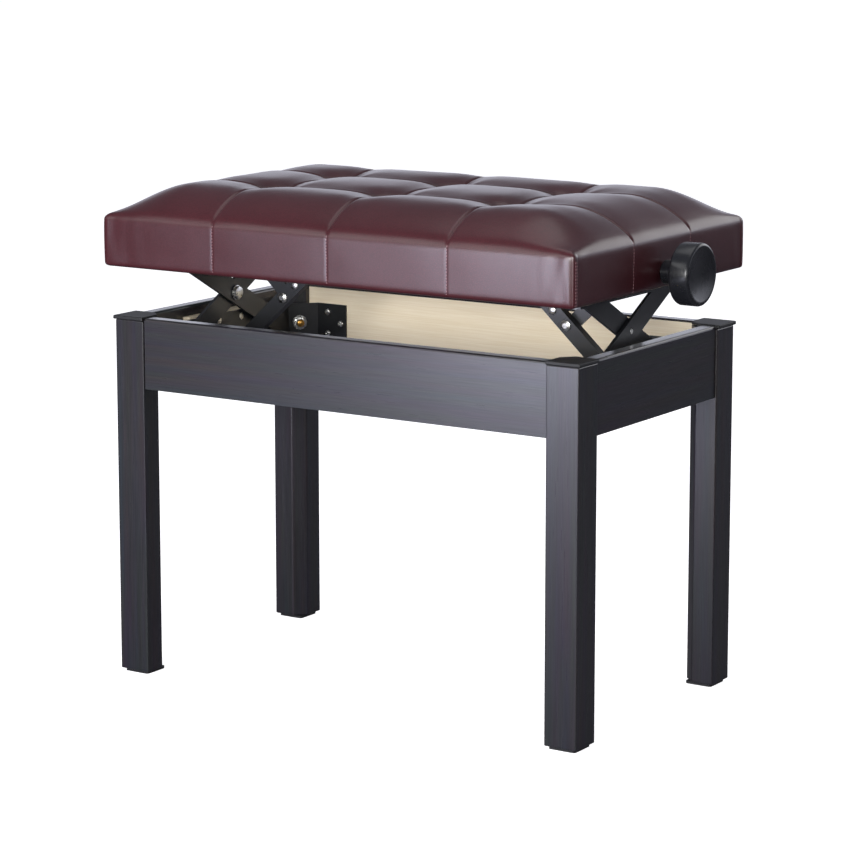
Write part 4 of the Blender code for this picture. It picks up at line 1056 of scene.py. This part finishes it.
def studio_world():
    """White behind the bench; for light and reflections, a dim room with a pale glow low at the back."""
    world = bpy.data.worlds.new("studio")
    bpy.context.scene.world = world
    world.use_nodes = True
    tree = world.node_tree
    white = tree.nodes["Background"]
    white.inputs["Color"].default_value = linear("FFFFFF")
    white.inputs["Strength"].default_value = 1.0
    way = add(tree, "TexCoord", {}).outputs["Generated"]
    axes = add(tree, "SeparateXYZ", {"Vector": way}).outputs
    behind = add(tree, "MapRange", {"Value": axes["Y"], "From Min": 0.1, "From Max": 0.8,
                                    "interpolation_type": "SMOOTHSTEP"})
    low = add(tree, "MapRange", {"Value": axes["Z"], "From Min": 0.08, "From Max": 0.46, "To Min": 1.0,
                                 "To Max": 0.0, "interpolation_type": "SMOOTHSTEP"})
    glow = add(tree, "Math", {"operation": "MULTIPLY", 0: behind.outputs["Result"],
                              1: low.outputs["Result"]})
    strength = add(tree, "Math", {"operation": "MULTIPLY_ADD", 0: glow.outputs[0], 1: 1.3, 2: 0.24})
    room = add(tree, "Background", {"Color": linear("EDF0FF"), "Strength": strength.outputs[0]})
    seen = add(tree, "LightPath", {}).outputs["Is Camera Ray"]
    mix = add(tree, "MixShader", {0: seen, 1: room.outputs[0], 2: white.outputs[0]})
    tree.links.new(mix.outputs[0], tree.nodes["World Output"].inputs["Surface"])


def set_stage():
    """A plain pale floor, soft studio light and the camera."""
    deselect()
    bpy.ops.mesh.primitive_plane_add(size=FLOOR_SIZE, location=(0, 0, 0))
    floor = bpy.context.object
    floor.name = "studio_floor"
    floor.data.materials.append(pale_floor())
    light_area("front_card", (-0.72, -2.15, 0.3), (0.1, 0.0, 0.3), (0.75, 0.6), 19, "E8EAFF")
    light_area("low_fill", (0.3, -2.7, 0.85), (0.0, 0.0, 0.4), (2.4, 0.6), 86)
    light_area("back_box", (1.0, 2.4, 1.4), (0.0, 0.0, 0.35), (1.6, 1.2), 14)
    light_area("side_glint", (2.3, -1.5, 0.62), (-0.1, 0.0, 0.34), (0.5, 0.4), 6)
    light_area("key_box", (-1.5, -2.4, 1.9), (0.0, 0.0, 0.35), (1.3, 1.3), 14)
    light_area("top_box", (0.1, 0.2, 2.6), (0.0, 0.0, 0.4), (2.2, 1.6), 12)
    studio_world()
    bpy.context.scene.view_settings.view_transform = "Standard"
    toward = Vector((math.sin(VIEW_AZIMUTH) * math.cos(VIEW_ELEVATION),
                     -math.cos(VIEW_AZIMUTH) * math.cos(VIEW_ELEVATION), math.sin(VIEW_ELEVATION)))
    bpy.ops.object.camera_add(location=AIM + toward * VIEW_DISTANCE)
    camera = bpy.context.object
    camera.rotation_euler = (-toward).to_track_quat("-Z", "Y").to_euler()
    camera.data.lens = LENS
    camera.data.shift_y = LENS_SHIFT
    camera.data.dof.use_dof = False
    bpy.context.scene.camera = camera


set_stage()
